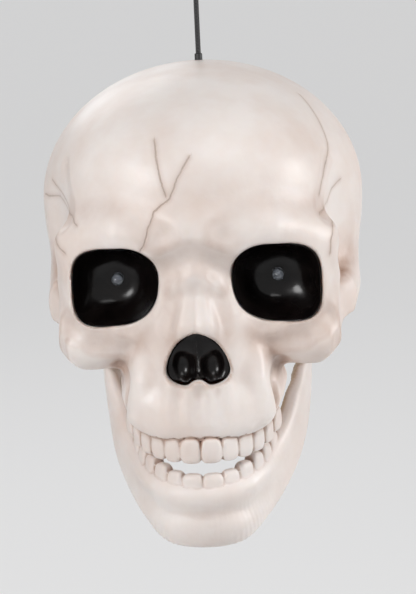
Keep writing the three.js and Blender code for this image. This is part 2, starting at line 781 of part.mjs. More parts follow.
function batteryPad() {
  const front = doorFront - padMargin
  const rear = doorRear + padMargin - clearance
  const size = [door[0] + 2 * padMargin, rear - front, padHeight]
  const middle = padTop - padHeight / 2
  const plate = block(...size, 0, (front + rear) / 2, middle)
  const lobe = rod('z', -baseDrop, padTop, doorEar + padMargin / 2, doorScrewAt, 12)
  const lugRadius = boxEar + clearance
  const lugs = [-1, 1].map((side) => rod('z', -baseDrop, padTop, lugRadius, [side * boxScrewX, boxBack, 0]))
  const switchPad = block(
    switchWidth + padMargin,
    switchLength + padMargin,
    padHeight,
    switchOffset,
    switchBack,
    middle,
  )
  return fuse(plate, lobe, switchPad, ...lugs)
}

function padCuts() {
  const rebate = doorThickness + clearance
  const low = -baseDrop - overrun
  const deep = overrun + rebate
  const opening = block(boxInner[0], boxInner[1], baseDrop, 0, boxBack, padTop + overrun - baseDrop / 2)
  const recess = block(door[0] + 2 * clearance, door[1] + 2 * clearance, deep, 0, boxBack, low + deep / 2)
  const earRecess = rod('z', low, low + deep, doorEar + clearance, doorScrewAt, 12)
  const screwBore = rod('z', low, padTop + overrun, doorScrewDiameter / 2 + doorScrewPlay, doorScrewAt)
  const slotDepth = tongueReach + clearance
  const slots = [-1, 1].map((side) => block(
    tongueWidth + 2 * clearance,
    slotDepth + 2 * doorLedge,
    padHeight,
    (side * tongueSpacing) / 2,
    doorFront + doorLedge - slotDepth / 2,
    -baseDrop + doorThickness - clearance + padHeight / 2,
  ))
  const boxBores = [-1, 1].map((side) => rod(
    'z',
    -baseDrop + clearance,
    padTop + overrun,
    boxScrewDiameter / 2 + clearance,
    [side * boxScrewX, boxBack, 0],
    8,
  ))
  const switchSlot = block(
    sliderWidth + 2 * clearance,
    sliderLength + switchTravel + 2 * clearance,
    baseDrop,
    switchOffset,
    switchBack,
    padTop + overrun - baseDrop / 2,
  )
  return [opening, recess, earRecess, screwBore, switchSlot, ...slots, ...boxBores]
}

const cordTop = [0, cordBack, 0]
const crownTop = skinReach(headField, cordTop, [0, 0, 1], 0, headLength)

function rearShell() {
  const rear = block(headWidth * 2, headLength, headLength * 2, 0, rearFront + headLength / 2)
  const boxSeat = block(
    boxOuter[0] + 2 * clearance,
    boxOuter[1] + 2 * clearance,
    boxHeight,
    0,
    boxBack,
    padTop + boxHeight / 2,
  )
  const switchSeat = block(
    switchWidth + 2 * clearance,
    switchLength + 2 * clearance,
    switchHeight,
    switchOffset,
    switchBack,
    padTop + switchHeight / 2,
  )
  let shell = cut(fuse(headShell.intersect(rear), batteryPad()), boxSeat, switchSeat)
  for (const [, x, z] of screwPlaces) {
    const post = rod('y', rearFront, headLength / 2, bossDiameter / 2 + clearance, [x, 0, z], 8)
    const tower = post.intersect(hollowed.outer)
    const well = rod('y', screwSeat, headLength, shellScrewHead / 2 + clearance, [x, 0, z], 8)
    const bore = rod('y', 0, headLength, shellScrewDiameter / 2 + clearance, [x, 0, z], 8)
    shell = cut(fuse(shell, tower, mirrored(tower)), well, mirrored(well), bore, mirrored(bore))
  }
  const cordHole = rod('z', crownTop - 2 * wall, crownTop + overrun, grommetDiameter / 2, cordTop)
  return cut(shell, cordHole, ...padCuts())
}

function batteryBox() {
  const body = block(boxOuter[0], boxOuter[1], boxHeight, 0, boxBack, boxFloor + boxHeight / 2)
  const room = block(boxInner[0], boxInner[1], boxHeight, 0, boxBack, boxFloor + boxHeight / 2 - boxWall)
  const ears = [-1, 1].map((side) => {
    const reach = boxEar + boxWall
    const x = side * (boxScrewX - boxEar / 2)
    const arm = block(reach, 2 * boxEar, 2 * boxWall, x, boxBack, boxFloor + boxWall)
    return fuse(arm, rod('z', boxFloor, boxFloor + 2 * boxWall, boxEar, [side * boxScrewX, boxBack, 0]))
  })
  const bores = [-1, 1].map((side) => rod(
    'z',
    boxFloor - overrun,
    boxFloor + overrun,
    boxScrewDiameter / 2 + clearance,
    [side * boxScrewX, boxBack, 0],
    8,
  ))
  return cut(cut(fuse(body, ...ears), room), ...bores)
}

function batteryDoor() {
  const plate = block(door[0], door[1], doorThickness, 0, boxBack, -baseDrop + doorThickness / 2)
  const ear = rod('z', -baseDrop, -baseDrop + doorThickness, doorEar, doorScrewAt, 12)
  const tongues = [-1, 1].map((side) => block(
    tongueWidth,
    tongueReach + doorLedge,
    tongueThickness,
    (side * tongueSpacing) / 2,
    doorFront + (doorLedge - tongueReach) / 2,
    -baseDrop + doorThickness + tongueThickness / 2,
  ))
  const headRoom = doorScrewHeadHeight + clearance
  const sink = rod('z', -baseDrop - overrun, -baseDrop + headRoom, doorScrewHead / 2 + clearance, doorScrewAt)
  const bore = rod('z', -baseDrop - overrun, padTop, doorScrewDiameter / 2 + clearance, doorScrewAt, 8)
  return cut(fuse(plate, ear, ...tongues), sink, bore)
}

// A pan-headed screw along an axis: it bears at `seat` and its shank runs toward `toward`
function screw(axis, at, seat, toward, head, headHeight, shank, length) {
  const headRod = rod(axis, seat, seat - toward * headHeight, head / 2, at)
  return fuse(headRod, rod(axis, seat - (toward * headHeight) / 2, seat + toward * length, shank / 2, at, 8))
}

const cellY = (row) => boxBack + (row * (cellDiameter + clearance)) / 2

function cell(row, toward) {
  const shoulder = cellLength - cellCapHeight
  const [wide, narrow] = [cellDiameter / 2, cellCapDiameter / 2]
  const cap = [[narrow, shoulder], [narrow, cellLength], [0, cellLength]]
  const body = turned([[0, 0], [wide, 0], [wide, shoulder], ...cap], 'x')
  const placed = toward > 0 ? body : mirrored(body)
  return placed.translate((-toward * cellLength) / 2, cellY(row), cellRise)
}

// Sheet contacts at the ends of the box, with a wound spring on each cell's flat end
function spring(row, toward) {
  const length = contactRoom - 2 * clearance - contactThickness / 2
  const radius = (springDiameter - springWire) / 2
  const path = new THREE.Curve()
  path.getPoint = (share) => {
    const turn = share * counts.springTurns * 2 * Math.PI
    const along = springWire / 2 + share * (length - springWire)
    return new THREE.Vector3(along, radius * Math.cos(turn), radius * Math.sin(turn))
  }
  const wire = swept(path, springWire, 4, counts.springTurns * 6)
  const placed = toward > 0 ? wire : mirrored(wire)
  const foot = -boxInner[0] / 2 + clearance + contactThickness / 2
  return placed.translate(toward * foot, cellY(row), cellRise)
}

function contactSheet(side, width, y) {
  const x = side * (boxInner[0] / 2 - clearance - contactThickness / 2)
  return block(contactThickness, width, contactWidth, x, y, cellRise)
}

function contactNub(row, side) {
  const from = side * (boxInner[0] / 2 - clearance - contactThickness / 2)
  const to = side * (cellLength / 2 + clearance)
  return rod('x', Math.min(from, to), Math.max(from, to), cellCapDiameter / 2, [0, cellY(row), cellRise], 12)
}

function switchBody() {
  const z = padTop + clearance + switchHeight / 2
  const body = block(switchWidth, switchLength, switchHeight, switchOffset, switchBack, z)
  const room = block(
    sliderWidth + 2 * clearance,
    sliderLength + switchTravel + 2 * clearance,
    sliderDepth + overrun + clearance,
    switchOffset,
    switchBack,
    padTop + clearance + (sliderDepth - overrun) / 2,
  )
  return cut(body, room)
}

const sliderOff = switchBack - switchTravel / 2

function switchSlider() {
  const low = -baseDrop - sliderProud
  const high = padTop + sliderDepth
  const knob = block(sliderWidth, sliderLength, high - low, switchOffset, sliderOff, (low + high) / 2)
  const groove = block(2 * sliderWidth, 2 * clearance, 2 * clearance, switchOffset, sliderOff, low)
  return cut(knob, groove)
}

function tube(points, diameter, around, steps) {
  const path = new THREE.CatmullRomCurve3(points.map((p) => new THREE.Vector3(...p)))
  return swept(path, diameter, around, steps)
}

const leadShares = { middle: 0.8, entry: 0.2 }

function lampLead() {
  const start = holderFront + holderDepth + clearance
  const end = boxOuter[0] * leadShares.entry
  return tube([
    [eyeX, start, eyeLift],
    [eyeX, start + 2 * holderDepth, eyeLift],
    [eyeX * leadShares.middle, start + 5 * holderDepth, eyeLift - holderDepth],
    [end, boxBack - cellDiameter, boxTop + 2 * holderDepth],
    [end, boxBack, boxTop + holderDepth],
    [end, boxBack, boxTop + clearance],
  ], leadWidth, 6, 11)
}

function switchLead() {
  const z = boxTop - 2 * leadWidth
  return tube([
    [boxOuter[0] / 2 + clearance, switchBack, z],
    [(boxOuter[0] / 2 + switchOffset - switchWidth / 2) / 2, switchBack, z + leadWidth / 2],
    [switchOffset - switchWidth / 2 - clearance, switchBack, padTop + switchHeight / 2 + leadWidth],
  ], leadWidth / 2, 6, 4)
}

// Jaw: thin walled and open on its inner side, with the tooth ridge and the pivot ears on it
const hollowShare = 0.6

function jawShell() {
  const body = jawSkin(1, 24, 10, 0)
  const hollow = jawSkin(hollowShare, 12, 6, jawWall)
  const ear = rod('x', earInner, earInner + earThickness, earDiameter / 2, pivotAt, 16)
  const bore = rod('x', 0, headWidth, pivotScrewDiameter / 2 + clearance, pivotAt, 8)
  const ridge = gumRidge(archRows.lower)
  const coronoid = coronoidBump()
  let jaw = fuse(cut(body, hollow), ridge, toothRow(archRows.lower))
  jaw = fuse(jaw, ear, mirrored(ear), coronoid, mirrored(coronoid))
  const trim = rod('x', 0, earInner, earDiameter / 2 + clearance, pivotAt, 16)
  const headRadius = pivotHeadDiameter / 2 + clearance
  const outerTrim = rod('x', earInner + earThickness, headWidth, headRadius, pivotAt, 16)
  for (const [, side] of sides) jaw = cut(jaw, sided(trim, side), sided(outerTrim, side), sided(bore, side))
  return jaw
}

// The blunt horn at the front of each ramus
const coronoidShares = { at: [1.008, -0.3, -0.33], radii: [0.048, 0.075, 0.085] }

function coronoidBump() {
  const { at, radii } = coronoidShares
  const sizes = [jawWidth / 2, jawFront, chinDrop]
  const bump = new THREE.SphereGeometry(1, 10, 6).scale(...radii.map((share, i) => share * sizes[i]))
  return solid(bump.translate(...at.map((share, i) => share * sizes[i])))
}

// The ridge under the lower teeth, running back along the same arch
const ridgeShares = { thick: 0.62, high: 0.55, drop: 0.95, reach: 1.32 }

function gumRidge(row) {
  const rings = []
  const steps = 10
  for (let i = 0; i <= steps; i += 1) {
    const turn = ridgeShares.reach * (1 - (2 * i) / steps)
    const [x, y] = archPoint(row, turn)
    const ring = []
    for (let k = 0; k < counts.ridgeSides; k += 1) {
      const around = (k / counts.ridgeSides) * 2 * Math.PI
      const across = Math.cos(around) * toothDepth * ridgeShares.thick
      const along = Math.sin(around) * toothHeight * ridgeShares.high
      const z = row.bite + biteRise(y) - toothHeight * ridgeShares.drop + along
      ring.push([x + Math.sin(turn) * across, y - Math.cos(turn) * across, z])
    }
    rings.push(ring)
  }
  return ringSolid(rings)
}

// Cord: a grommet in the crown, a washer and a knot under it, and a loop over the knot above
const grommetSeat = crownTop - 2 * wall

function grommet() {
  const bore = cordDiameter / 2 + clearance
  const neck = grommetDiameter / 2 - clearance
  const shoulder = grommetSeat + grommetFlangeThickness
  return turned([
    [bore, grommetSeat], [grommetFlange / 2, grommetSeat], [grommetFlange / 2, shoulder], [neck, shoulder],
    [neck, crownTop], [grommetTopDiameter / 2, crownTop + grommetHeight], [bore, crownTop + grommetHeight],
    [bore, grommetSeat],
  ], 'z', cordTop)
}

const washerLow = grommetSeat - clearance - washerThickness
const endKnotTop = washerLow - clearance
const topKnotLow = crownTop + cordStretch
const loopBottom = topKnotLow + knotHeight + clearance
const hookRise = loopBottom + loopHeight

// A wrapped knot: three turns of the cord drawn up into a barrel
const knotShares = [[0.1, 0.8], [0.5, 1], [0.9, 0.8]]

function knot(low) {
  const profile = [[0, low]]
  for (let i = 0; i < counts.knotTurns; i += 1) {
    for (const [up, out] of knotShares) {
      profile.push([(knotDiameter / 2) * out, low + (knotHeight * (i + up)) / counts.knotTurns])
    }
  }
  profile.push([0, low + knotHeight])
  return turned(profile, 'z', cordTop, 8)
}

function washer(axis, low, bore, at) {
  const high = low + washerThickness
  const ring = [[bore, low], [washerDiameter / 2, low], [washerDiameter / 2, high], [bore, high], [bore, low]]
  return turned(ring, axis, at)
}

function cordRun() {
  return rod('z', endKnotTop + clearance, topKnotLow - clearance, cordDiameter / 2, cordTop, 8)
}

function hangingLoop() {
  const legs = cordDiameter / 2 + clearance
  const half = loopWidth / 2 + cordDiameter / 2
  const bend = hookRise + cordDiameter / 2 - half
  const arc = [0, 0.2, 0.4, 0.6, 0.8, 1].map((share) => {
    const turn = share * Math.PI
    return [half * Math.cos(turn), cordBack, bend + half * Math.sin(turn)]
  })
  const leg = (side) => [0, cordDiameter].map((up) => [side * legs, cordBack, loopBottom + up])
  return tube([...leg(1), ...arc, ...leg(-1).reverse()], cordDiameter, 8, 16)
}

// Screws, each seated on the piece that it holds down
function pivotScrew() {
  const seat = earInner + earThickness + clearance
  const head = [pivotHeadDiameter, pivotHeadHeight]
  return screw('x', pivotAt, seat, -1, ...head, pivotScrewDiameter, pivotScrewLength)
}

function shellScrew(x, z) {
  const seat = screwSeat + clearance
  const at = [x, 0, z]
  return screw('y', at, seat, -1, shellScrewHead, shellScrewHeadHeight, shellScrewDiameter, shellScrewLength)
}

function boxScrew() {
  const grip = 2 * boxWall
  const seat = boxFloor + grip + clearance
  const at = [boxScrewX, boxBack, 0]
  return screw('z', at, seat, -1, boxScrewHead, boxScrewHeadHeight, boxScrewDiameter, grip + boxScrewLength)
}

function doorScrew() {
  const [head, high] = [doorScrewHead, doorScrewHeadHeight]
  return screw('z', doorScrewAt, -baseDrop + high, 1, head, high, doorScrewDiameter, doorScrewLength)
}

// Assembly: the head hangs below the point where the loop bears on its hook, and each piece
// that turns or slides lies in a group of its own, set at its pivot, hinge or slot
const skull = new THREE.Group()
skull.name = 'hanging_skull'
const head = new THREE.Group()
head.position.set(0, -cordBack, -hookRise)
skull.add(head)

function groupAt(at) {
  const group = new THREE.Group()
  group.position.set(...at)
  head.add(group)
  return group
}

function add(group, name, body, finish) {
  const geometry = geometryOf(body)
  if (group !== head) geometry.translate(...group.position.toArray().map((value) => -value))
  const mesh = new THREE.Mesh(geometry, finishes[finish].clone())
  mesh.name = name
  group.add(mesh)
}

add(head, 'face_shell', faceShell(), 'bone')
add(head, 'rear_shell', rearShell(), 'bone')
add(head, 'nose_insert', noseInsert(), 'gloss')

const jaw = groupAt(pivotAt)
add(jaw, 'jaw_shell', jawShell(), 'bone')

for (const [name, side] of sides) {
  const eye = groupAt([side * eyeX, -cupFloorFront, eyeLift])
  add(eye, `eye_cup_${name}`, sided(eyeCup(), side), 'gloss')
  add(eye, `lamp_${name}`, sided(lamp(), side), 'clear')
  add(eye, `lamp_holder_${name}`, sided(lampHolder(), side), 'black')
  add(eye, `lamp_lead_${name}`, sided(lampLead(), side), 'wire')
  const jawWasher = washer('x', pivotWall + clearance, pivotScrewDiameter / 2 + clearance, pivotAt)
  add(head, `jaw_washer_${name}`, sided(jawWasher, side), 'black')
  add(head, `jaw_pivot_screw_${name}`, sided(pivotScrew(), side), 'steel')
  add(head, `battery_box_screw_${name}`, sided(boxScrew(), side), 'steel')
  for (const [row, x, z] of screwPlaces) {
    add(head, `shell_screw_${row}_${name}`, sided(shellScrew(x, z), side), 'steel')
  }
}

add(head, 'battery_box', batteryBox(), 'black')
const doorGroup = groupAt([0, doorFront, -baseDrop])
add(doorGroup, 'battery_door', batteryDoor(), 'bone')
add(doorGroup, 'battery_door_screw', doorScrew(), 'steel')
add(head, 'battery_1', cell(-1, 1), 'cell')
add(head, 'battery_2', cell(1, -1), 'cell')

const bridgeWidth = cellDiameter + clearance + contactWidth
const bridge = fuse(contactSheet(-1, bridgeWidth, boxBack), spring(-1, 1), contactNub(1, -1))
add(head, 'contact_bridge', bridge, 'steel')
add(head, 'contact_positive', fuse(contactSheet(1, contactWidth, cellY(-1)), contactNub(-1, 1)), 'steel')
add(head, 'contact_negative', fuse(contactSheet(1, contactWidth, cellY(1)), spring(1, -1)), 'steel')

add(head, 'switch_body', switchBody(), 'black')
add(head, 'switch_lead', switchLead(), 'wire')
const sliderGroup = groupAt([switchOffset, sliderOff, -baseDrop])
add(sliderGroup, 'switch_slider', switchSlider(), 'black')

add(head, 'cord_grommet', grommet(), 'black')
add(head, 'cord_washer', washer('z', washerLow, cordDiameter / 2 + clearance, cordTop), 'steel')
add(head, 'cord_end_knot', knot(endKnotTop - knotHeight), 'cord')
add(head, 'hanging_cord', cordRun(), 'cord')
add(head, 'cord_top_knot', knot(topKnotLow), 'cord')
add(head, 'hanging_loop', hangingLoop(), 'cord')

export default skull
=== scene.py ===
import json
import math
from concurrent.futures import ThreadPoolExecutor

import bmesh
import bpy
import numpy as np
from mathutils import Matrix, Vector


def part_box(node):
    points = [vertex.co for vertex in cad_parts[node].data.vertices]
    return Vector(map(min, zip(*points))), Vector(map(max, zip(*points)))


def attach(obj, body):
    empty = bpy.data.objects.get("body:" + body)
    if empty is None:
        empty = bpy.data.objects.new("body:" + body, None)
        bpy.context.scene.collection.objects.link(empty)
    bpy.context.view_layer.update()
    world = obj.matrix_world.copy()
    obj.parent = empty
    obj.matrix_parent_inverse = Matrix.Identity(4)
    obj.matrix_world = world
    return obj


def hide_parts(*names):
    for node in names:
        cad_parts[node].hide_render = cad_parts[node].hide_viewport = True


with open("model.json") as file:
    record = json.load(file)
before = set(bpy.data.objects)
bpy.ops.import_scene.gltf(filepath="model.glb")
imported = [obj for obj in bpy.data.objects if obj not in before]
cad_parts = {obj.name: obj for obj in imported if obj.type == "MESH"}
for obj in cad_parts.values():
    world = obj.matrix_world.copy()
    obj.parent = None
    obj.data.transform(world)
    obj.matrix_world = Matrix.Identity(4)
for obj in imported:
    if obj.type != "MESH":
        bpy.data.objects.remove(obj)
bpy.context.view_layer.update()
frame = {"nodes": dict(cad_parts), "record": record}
print("skull: frame loaded,", len(frame["nodes"]), "nodes")


def centreOf(node):
    low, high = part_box(node)
    return (low + high) / 2


# The forms are written in millimetres in the head's own frame: origin on the midline, level with
# the eye centres, face along -Y. The lamp and the cord say where that is.
fit = {"eyeX": 36.3, "eyeLift": 0.8, "cordBack": 14.0, "clearance": 0.3, "wall": 3.0}
headOrigin = np.array([
    0,
    centreOf("hanging_cord").y - fit["cordBack"] / 1000,
    centreOf("lamp_right").z - fit["eyeLift"] / 1000,
])


def toRow(points):
    return np.asarray(points, float) / 1000 + headOrigin


def toHead(points):
    return (np.asarray(points, float) - headOrigin) * 1000


def linked(name, data):
    made = bpy.data.objects.new(name, data)
    bpy.context.scene.collection.objects.link(made)
    return made


def give(piece, body, slotName, *nodes):
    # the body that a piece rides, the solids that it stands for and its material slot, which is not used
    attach(piece, body)
    if nodes:
        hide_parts(*nodes)


# Camera
cameraView = {
    "azimuth": 3.8, "elevation": 12.0, "roll": -2.6,
    "distance": 1350.0, "pixel": 0.446,  # millimetres, at the target
    "target": (0, -80, 0), "targetPixel": (195.6, 286.0),
    "image": (416, 594), "sensor": 36.0, "clip": (0.05, 20),
}


def addCamera(view):
    turn, rise, roll = (math.radians(view[k]) for k in ("azimuth", "elevation", "roll"))
    back = Vector((math.sin(turn) * math.cos(rise), -math.cos(turn) * math.cos(rise), math.sin(rise)))
    right = Vector((math.cos(turn), math.sin(turn), 0))
    up = back.cross(right)
    right, up = math.cos(roll) * right + math.sin(roll) * up, math.cos(roll) * up - math.sin(roll) * right
    focal = view["distance"] / view["pixel"]
    place = Vector(toRow(view["target"])) + back * view["distance"] / 1000
    offX, offY = ((view["image"][i] / 2 - view["targetPixel"][i]) / focal for i in (0, 1))
    back = (back - offX * right + offY * up).normalized()  # the axis runs through the image's middle
    right = up.cross(back).normalized()
    up = back.cross(right)
    data = bpy.data.cameras.new("photoCamera")
    data.sensor_width = view["sensor"]
    data.lens = focal * view["sensor"] / view["image"][1]
    data.clip_start, data.clip_end = view["clip"]
    camera = linked("photoCamera", data)
    camera.matrix_world = Matrix((right, up, back)).transposed().to_4x4()
    camera.location = place
    bpy.context.scene.camera = camera


addCamera(cameraView)
print("skull: camera set")


# A few helpers for shader nodes
class Nodes:
    def __init__(self, tree):
        self.tree = tree

    def node(self, kind, inputs=None, **settings):
        made = self.tree.nodes.new("ShaderNode" + kind)
        for name, value in settings.items():
            setattr(made, name, value)
        for name, value in (inputs or {}).items():
            self.feed(made.inputs[name], value)
        return made

    def feed(self, socket, value):
        if isinstance(value, bpy.types.NodeSocket):
            self.tree.links.new(value, socket)
        elif isinstance(value, bpy.types.Node):
            self.tree.links.new(value.outputs[0], socket)
        else:
            socket.default_value = value

    def math(self, operation, *values, clamp=False):
        return self.node("Math", dict(enumerate(values)), operation=operation, use_clamp=clamp)

    def seen(self):
        # 1 for the rays that show the backdrop as it is, 0 for those that light the object
        rays = self.node("LightPath").outputs
        seen = self.math("MAXIMUM", rays["Is Camera Ray"], rays["Is Glossy Ray"])
        return self.math("MAXIMUM", seen, rays["Is Transmission Ray"])


# A material: the principled shader and what feeds it
class Finish(Nodes):
    def __init__(self, name, **values):
        self.material = bpy.data.materials.new(name)
        self.material.use_nodes = True
        super().__init__(self.material.node_tree)
        self.shader = self.tree.nodes["Principled BSDF"]
        for socket, value in values.items():
            self.shader.inputs[socket.replace("_", " ")].default_value = value

    def noise(self, scale, detail=3.0, roughness=0.5):
        inputs = {"Vector": self.node("TexCoord").outputs["Object"], "Scale": scale, "Detail": detail}
        return self.node("TexNoise", {**inputs, "Roughness": roughness}).outputs["Fac"]

    def ramp(self, value, low, high, outLow=0.0, outHigh=1.0):
        inputs = {"Value": value, "From Min": low, "From Max": high, "To Min": outLow, "To Max": outHigh}
        return self.node("MapRange", inputs)

    def mix(self, share, a, b):
        # a colour is given as three numbers up to 255
        made = self.node("Mix", data_type="RGBA")
        for key, value in (("Factor", share), (6, a), (7, b)):
            self.feed(made.inputs[key], colour(*value) if isinstance(value, tuple) else value)
        return made.outputs[2]

    def attribute(self, name, output="Fac"):
        return self.node("Attribute", attribute_name=name).outputs[output]

    def bump(self, height, strength, distance):
        inputs = {"Height": height, "Strength": strength, "Distance": distance}
        return self.node("Bump", inputs).outputs["Normal"]

    def done(self, **links):
        for socket, value in links.items():
            self.feed(self.shader.inputs[socket.replace("_", " ")], value)
        return self.material


def colour(*shares):
    values = [share / 255 for share in shares]
    return (*(v / 12.92 if v < 0.04045 else ((v + 0.055) / 1.055) ** 2.4 for v in values), 1.0)


def makeCordFibre():
    finish = Finish("braidedCord", Roughness=0.75, Sheen_Weight=0.25)
    place = finish.node("SeparateXYZ", {"Vector": finish.node("UVMap", uv_map="braid")}).outputs
    waves = []
    for operation in ("ADD", "SUBTRACT"):
        slant = finish.math(operation, place["Y"], place["X"])
        waves.append(finish.math("SINE", finish.math("MULTIPLY", slant, 8 * math.pi)))
    braid = finish.math("MAXIMUM", *waves)
    # painted shade: the strands are lighter on their ridges and darker between them, with fibre noise over it
    shade = finish.math("MULTIPLY_ADD", braid, 0.25, finish.noise(2600.0, 2.0))
    base = finish.mix(finish.ramp(shade, 0.2, 0.9), (24, 24, 25), (62, 62, 64))
    return finish.done(Base_Color=base, Normal=finish.bump(braid, 0.6, 0.0002))


cordFibre = makeCordFibre()


sharpAngle = math.radians(40)  # between two faces, past which their edge is drawn hard
workerCount = 4


def bandOf(a, b, around):
    # the faces between two rings of vertices, given the first vertex of each
    return [(a + k, a + (k + 1) % around, b + (k + 1) % around, b + k) for k in range(around)]


def addPiece(name, vertices, faces, material, smooth=True, inRow=False):
    mesh = bpy.data.meshes.new(name)
    placed = vertices if inRow else toRow(vertices)
    mesh.from_pydata(np.asarray(placed).tolist(), [], [list(map(int, face)) for face in faces])
    mesh.polygons.foreach_set("use_smooth", np.full(len(mesh.polygons), smooth))
    if material:
        mesh.materials.append(material)
    mesh.update()
    return linked(name, mesh)


def cordTube(name, path, diameter, around=20, turnLength=6.0):
    # a closed tube along a path, with its own UV map for the braid
    path = np.asarray(path, float)
    steps = np.diff(path, axis=0)
    tangents = np.vstack([steps[:1], (steps[1:] + steps[:-1]) / 2, steps[-1:]])
    tangents /= np.linalg.norm(tangents, axis=1, keepdims=True)
    side = np.cross(tangents[0], (0, 1, 0) if abs(tangents[0][1]) < 0.9 else (1, 0, 0))
    along = np.concatenate([[0], np.cumsum(np.linalg.norm(steps, axis=1))])
    angles = np.arange(around) / around * 2 * np.pi
    rings = []
    for point, tangent in zip(path, tangents):
        side = side - tangent * (side @ tangent)
        side /= np.linalg.norm(side)
        other = np.cross(tangent, side)
        ring = np.outer(np.cos(angles), side) + np.outer(np.sin(angles), other)
        rings.append(point + diameter / 2 * ring)
    vertices = np.vstack(rings + [path[:1], path[-1:]])
    faces, corners = [], []
    for i in range(len(path) - 1):
        faces += bandOf(i * around, (i + 1) * around, around)
        for k in range(around):
            corners += [(k, i), (k + 1, i), (k + 1, i + 1), (k, i + 1)]
    last = len(path) - 1
    for k in range(around):
        n = (k + 1) % around
        faces.append((len(vertices) - 2, n, k))
        faces.append((len(vertices) - 1, last * around + k, last * around + n))
        corners += [(k, 0), (k + 1, 0), (k, 0), (k, last), (k, last), (k + 1, last)]
    piece = addPiece(name, vertices, faces, cordFibre)
    layer = piece.data.uv_layers.new(name="braid")
    flat = np.array([(u / around, along[v] / turnLength) for u, v in corners], np.float32)
    layer.data.foreach_set("uv", flat.ravel())
    return piece


# The cord leaves the grommet in the crown and is tied just outside the view; the loop goes over the knot
cordSizes = {"diameter": 2.4, "drawn": 0.98, "legGap": 1.5, "legStraight": 3, "loopSteps": 40,
             "knotTurns": 3, "knotWaist": 0.14, "knotAround": 14}
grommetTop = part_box("cord_grommet")[1]
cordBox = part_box("hanging_cord")
cordExit = toHead((0, 0, grommetTop.z))
cordEnd = toHead((0, 0, cordBox[1].z))
cordPath = [cordExit + (cordEnd - cordExit) * share for share in np.linspace(0, 1, 25)]
cordPiece = cordTube("cord", cordPath, cordSizes["diameter"])
innerPath = [toHead((0, 0, z)) for z in np.linspace(cordBox[0].z, grommetTop.z, 9)]
innerCord = cordTube("cord_inside_crown", innerPath, cordSizes["diameter"])


def headBoxOf(node):
    return [toHead(corner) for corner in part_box(node)]


def wrappedKnot(name, node):
    # turns of the cord drawn up into a barrel
    low, high = headBoxOf(node)
    middle = (low + high) / 2
    thick, turns, waist = (cordSizes[key] for key in ("diameter", "knotTurns", "knotWaist"))
    share = np.linspace(0, 1, 24 * turns)
    angle = share * turns * 2 * np.pi
    squeeze = ((high[0] - low[0]) / 2 - thick / 2) * (1 - waist + waist * np.sin(share * np.pi))
    path = np.stack([
        middle[0] + squeeze * np.cos(angle),
        middle[1] + squeeze * np.sin(angle),
        low[2] + thick / 2 + (high[2] - low[2] - thick) * share,
    ], 1)
    return cordTube(name, path, thick * cordSizes["drawn"], cordSizes["knotAround"])


topKnot = wrappedKnot("cord_knot", "cord_top_knot")
endKnot = wrappedKnot("cord_end_knot_turns", "cord_end_knot")


def addLoop():
    low, high = headBoxOf("hanging_loop")
    radius, legs, straight = cordSizes["diameter"] / 2, cordSizes["legGap"], cordSizes["legStraight"]
    half = (high[0] - low[0]) / 2 - radius
    bend = high[2] - radius - half
    ease = np.linspace(0, 1, 16)[1:-1]
    rise = low[2] + straight + (bend - low[2] - straight) * ease
    out = legs + (half - legs) * (3 * ease ** 2 - 2 * ease ** 3)
    climb = [(legs, z) for z in np.linspace(low[2], low[2] + straight, 5)] + list(zip(out, rise))
    arc = np.linspace(0, np.pi, cordSizes["loopSteps"])
    top = [(half * math.cos(a), bend + half * math.sin(a)) for a in arc]
    down = [(-x, z) for x, z in reversed(climb)]
    path = [(x, fit["cordBack"], z) for x, z in climb + top + down]
    return cordTube("cord_loop", path, cordSizes["diameter"] * cordSizes["drawn"])


loopPiece = addLoop()
for piece, node in ((cordPiece, "hanging_cord"), (innerCord, "hanging_cord"), (topKnot, "cord_top_knot"),
                    (endKnot, "cord_end_knot"), (loopPiece, "hanging_loop")):
    give(piece, "head", "cord_fibre", node)
print("skull: cord hung")


# Sculpting: each form is a distance in millimetres, negative inside
tiny, veryFar = 1e-3, 1e3


def fromReach(reach, far, inside):
    # from the scaled distance to a form's middle, the true one and what holds at the middle
    return np.where(reach > tiny, far * (1 - 1 / np.maximum(reach, tiny)), inside)


def shareAlong(p, start, along):
    return np.clip(((p - start) @ along) / (along @ along), 0, 1)


def folded(p):
    q = p.copy()
    q[:, 0] = np.abs(q[:, 0])
    return q


def ballField(p, shape):
    d = p - np.array(shape["at"], np.float32)
    radii = np.array(shape["radii"], np.float32)
    power = shape.get("power", 2.0)
    scaled = np.abs(d / radii)
    if "low" in shape:  # the radius below the middle
        scaled[:, 2] *= np.where(d[:, 2] < 0, radii[2] / shape["low"], 1)
    if power == 2.0:
        reach = np.sqrt((scaled * scaled).sum(1))
    else:
        reach = (scaled ** power).sum(1) ** (1 / power)
    return fromReach(reach, np.sqrt((d * d).sum(1)), -radii.min())


def pathField(p, shape):
    # a rod with round ends through a list of points, thinner or thicker toward its end
    points = np.array(shape["path"], np.float32)
    sizes = np.linspace(shape["radius"], shape.get("endRadius", shape["radius"]), len(points))
    nearest = np.full(len(p), veryFar, np.float32)
    for i in range(len(points) - 1):
        along = points[i + 1] - points[i]
        t = shareAlong(p, points[i], along)
        rest = p - points[i] - t[:, None] * along
        rest[:, 2] /= shape.get("stretch", 1.0)
        thick = sizes[i] + (sizes[i + 1] - sizes[i]) * t
        nearest = np.minimum(nearest, np.sqrt((rest * rest).sum(1)) - thick)
    return nearest


def discField(p, shape):
    # a flat disc with its axis along X
    across = np.hypot(p[:, 1] - shape["at"][1], p[:, 2] - shape["at"][2]) - shape["radius"]
    return np.maximum(across, np.abs(p[:, 0] - shape["at"][0]) - shape["half"])


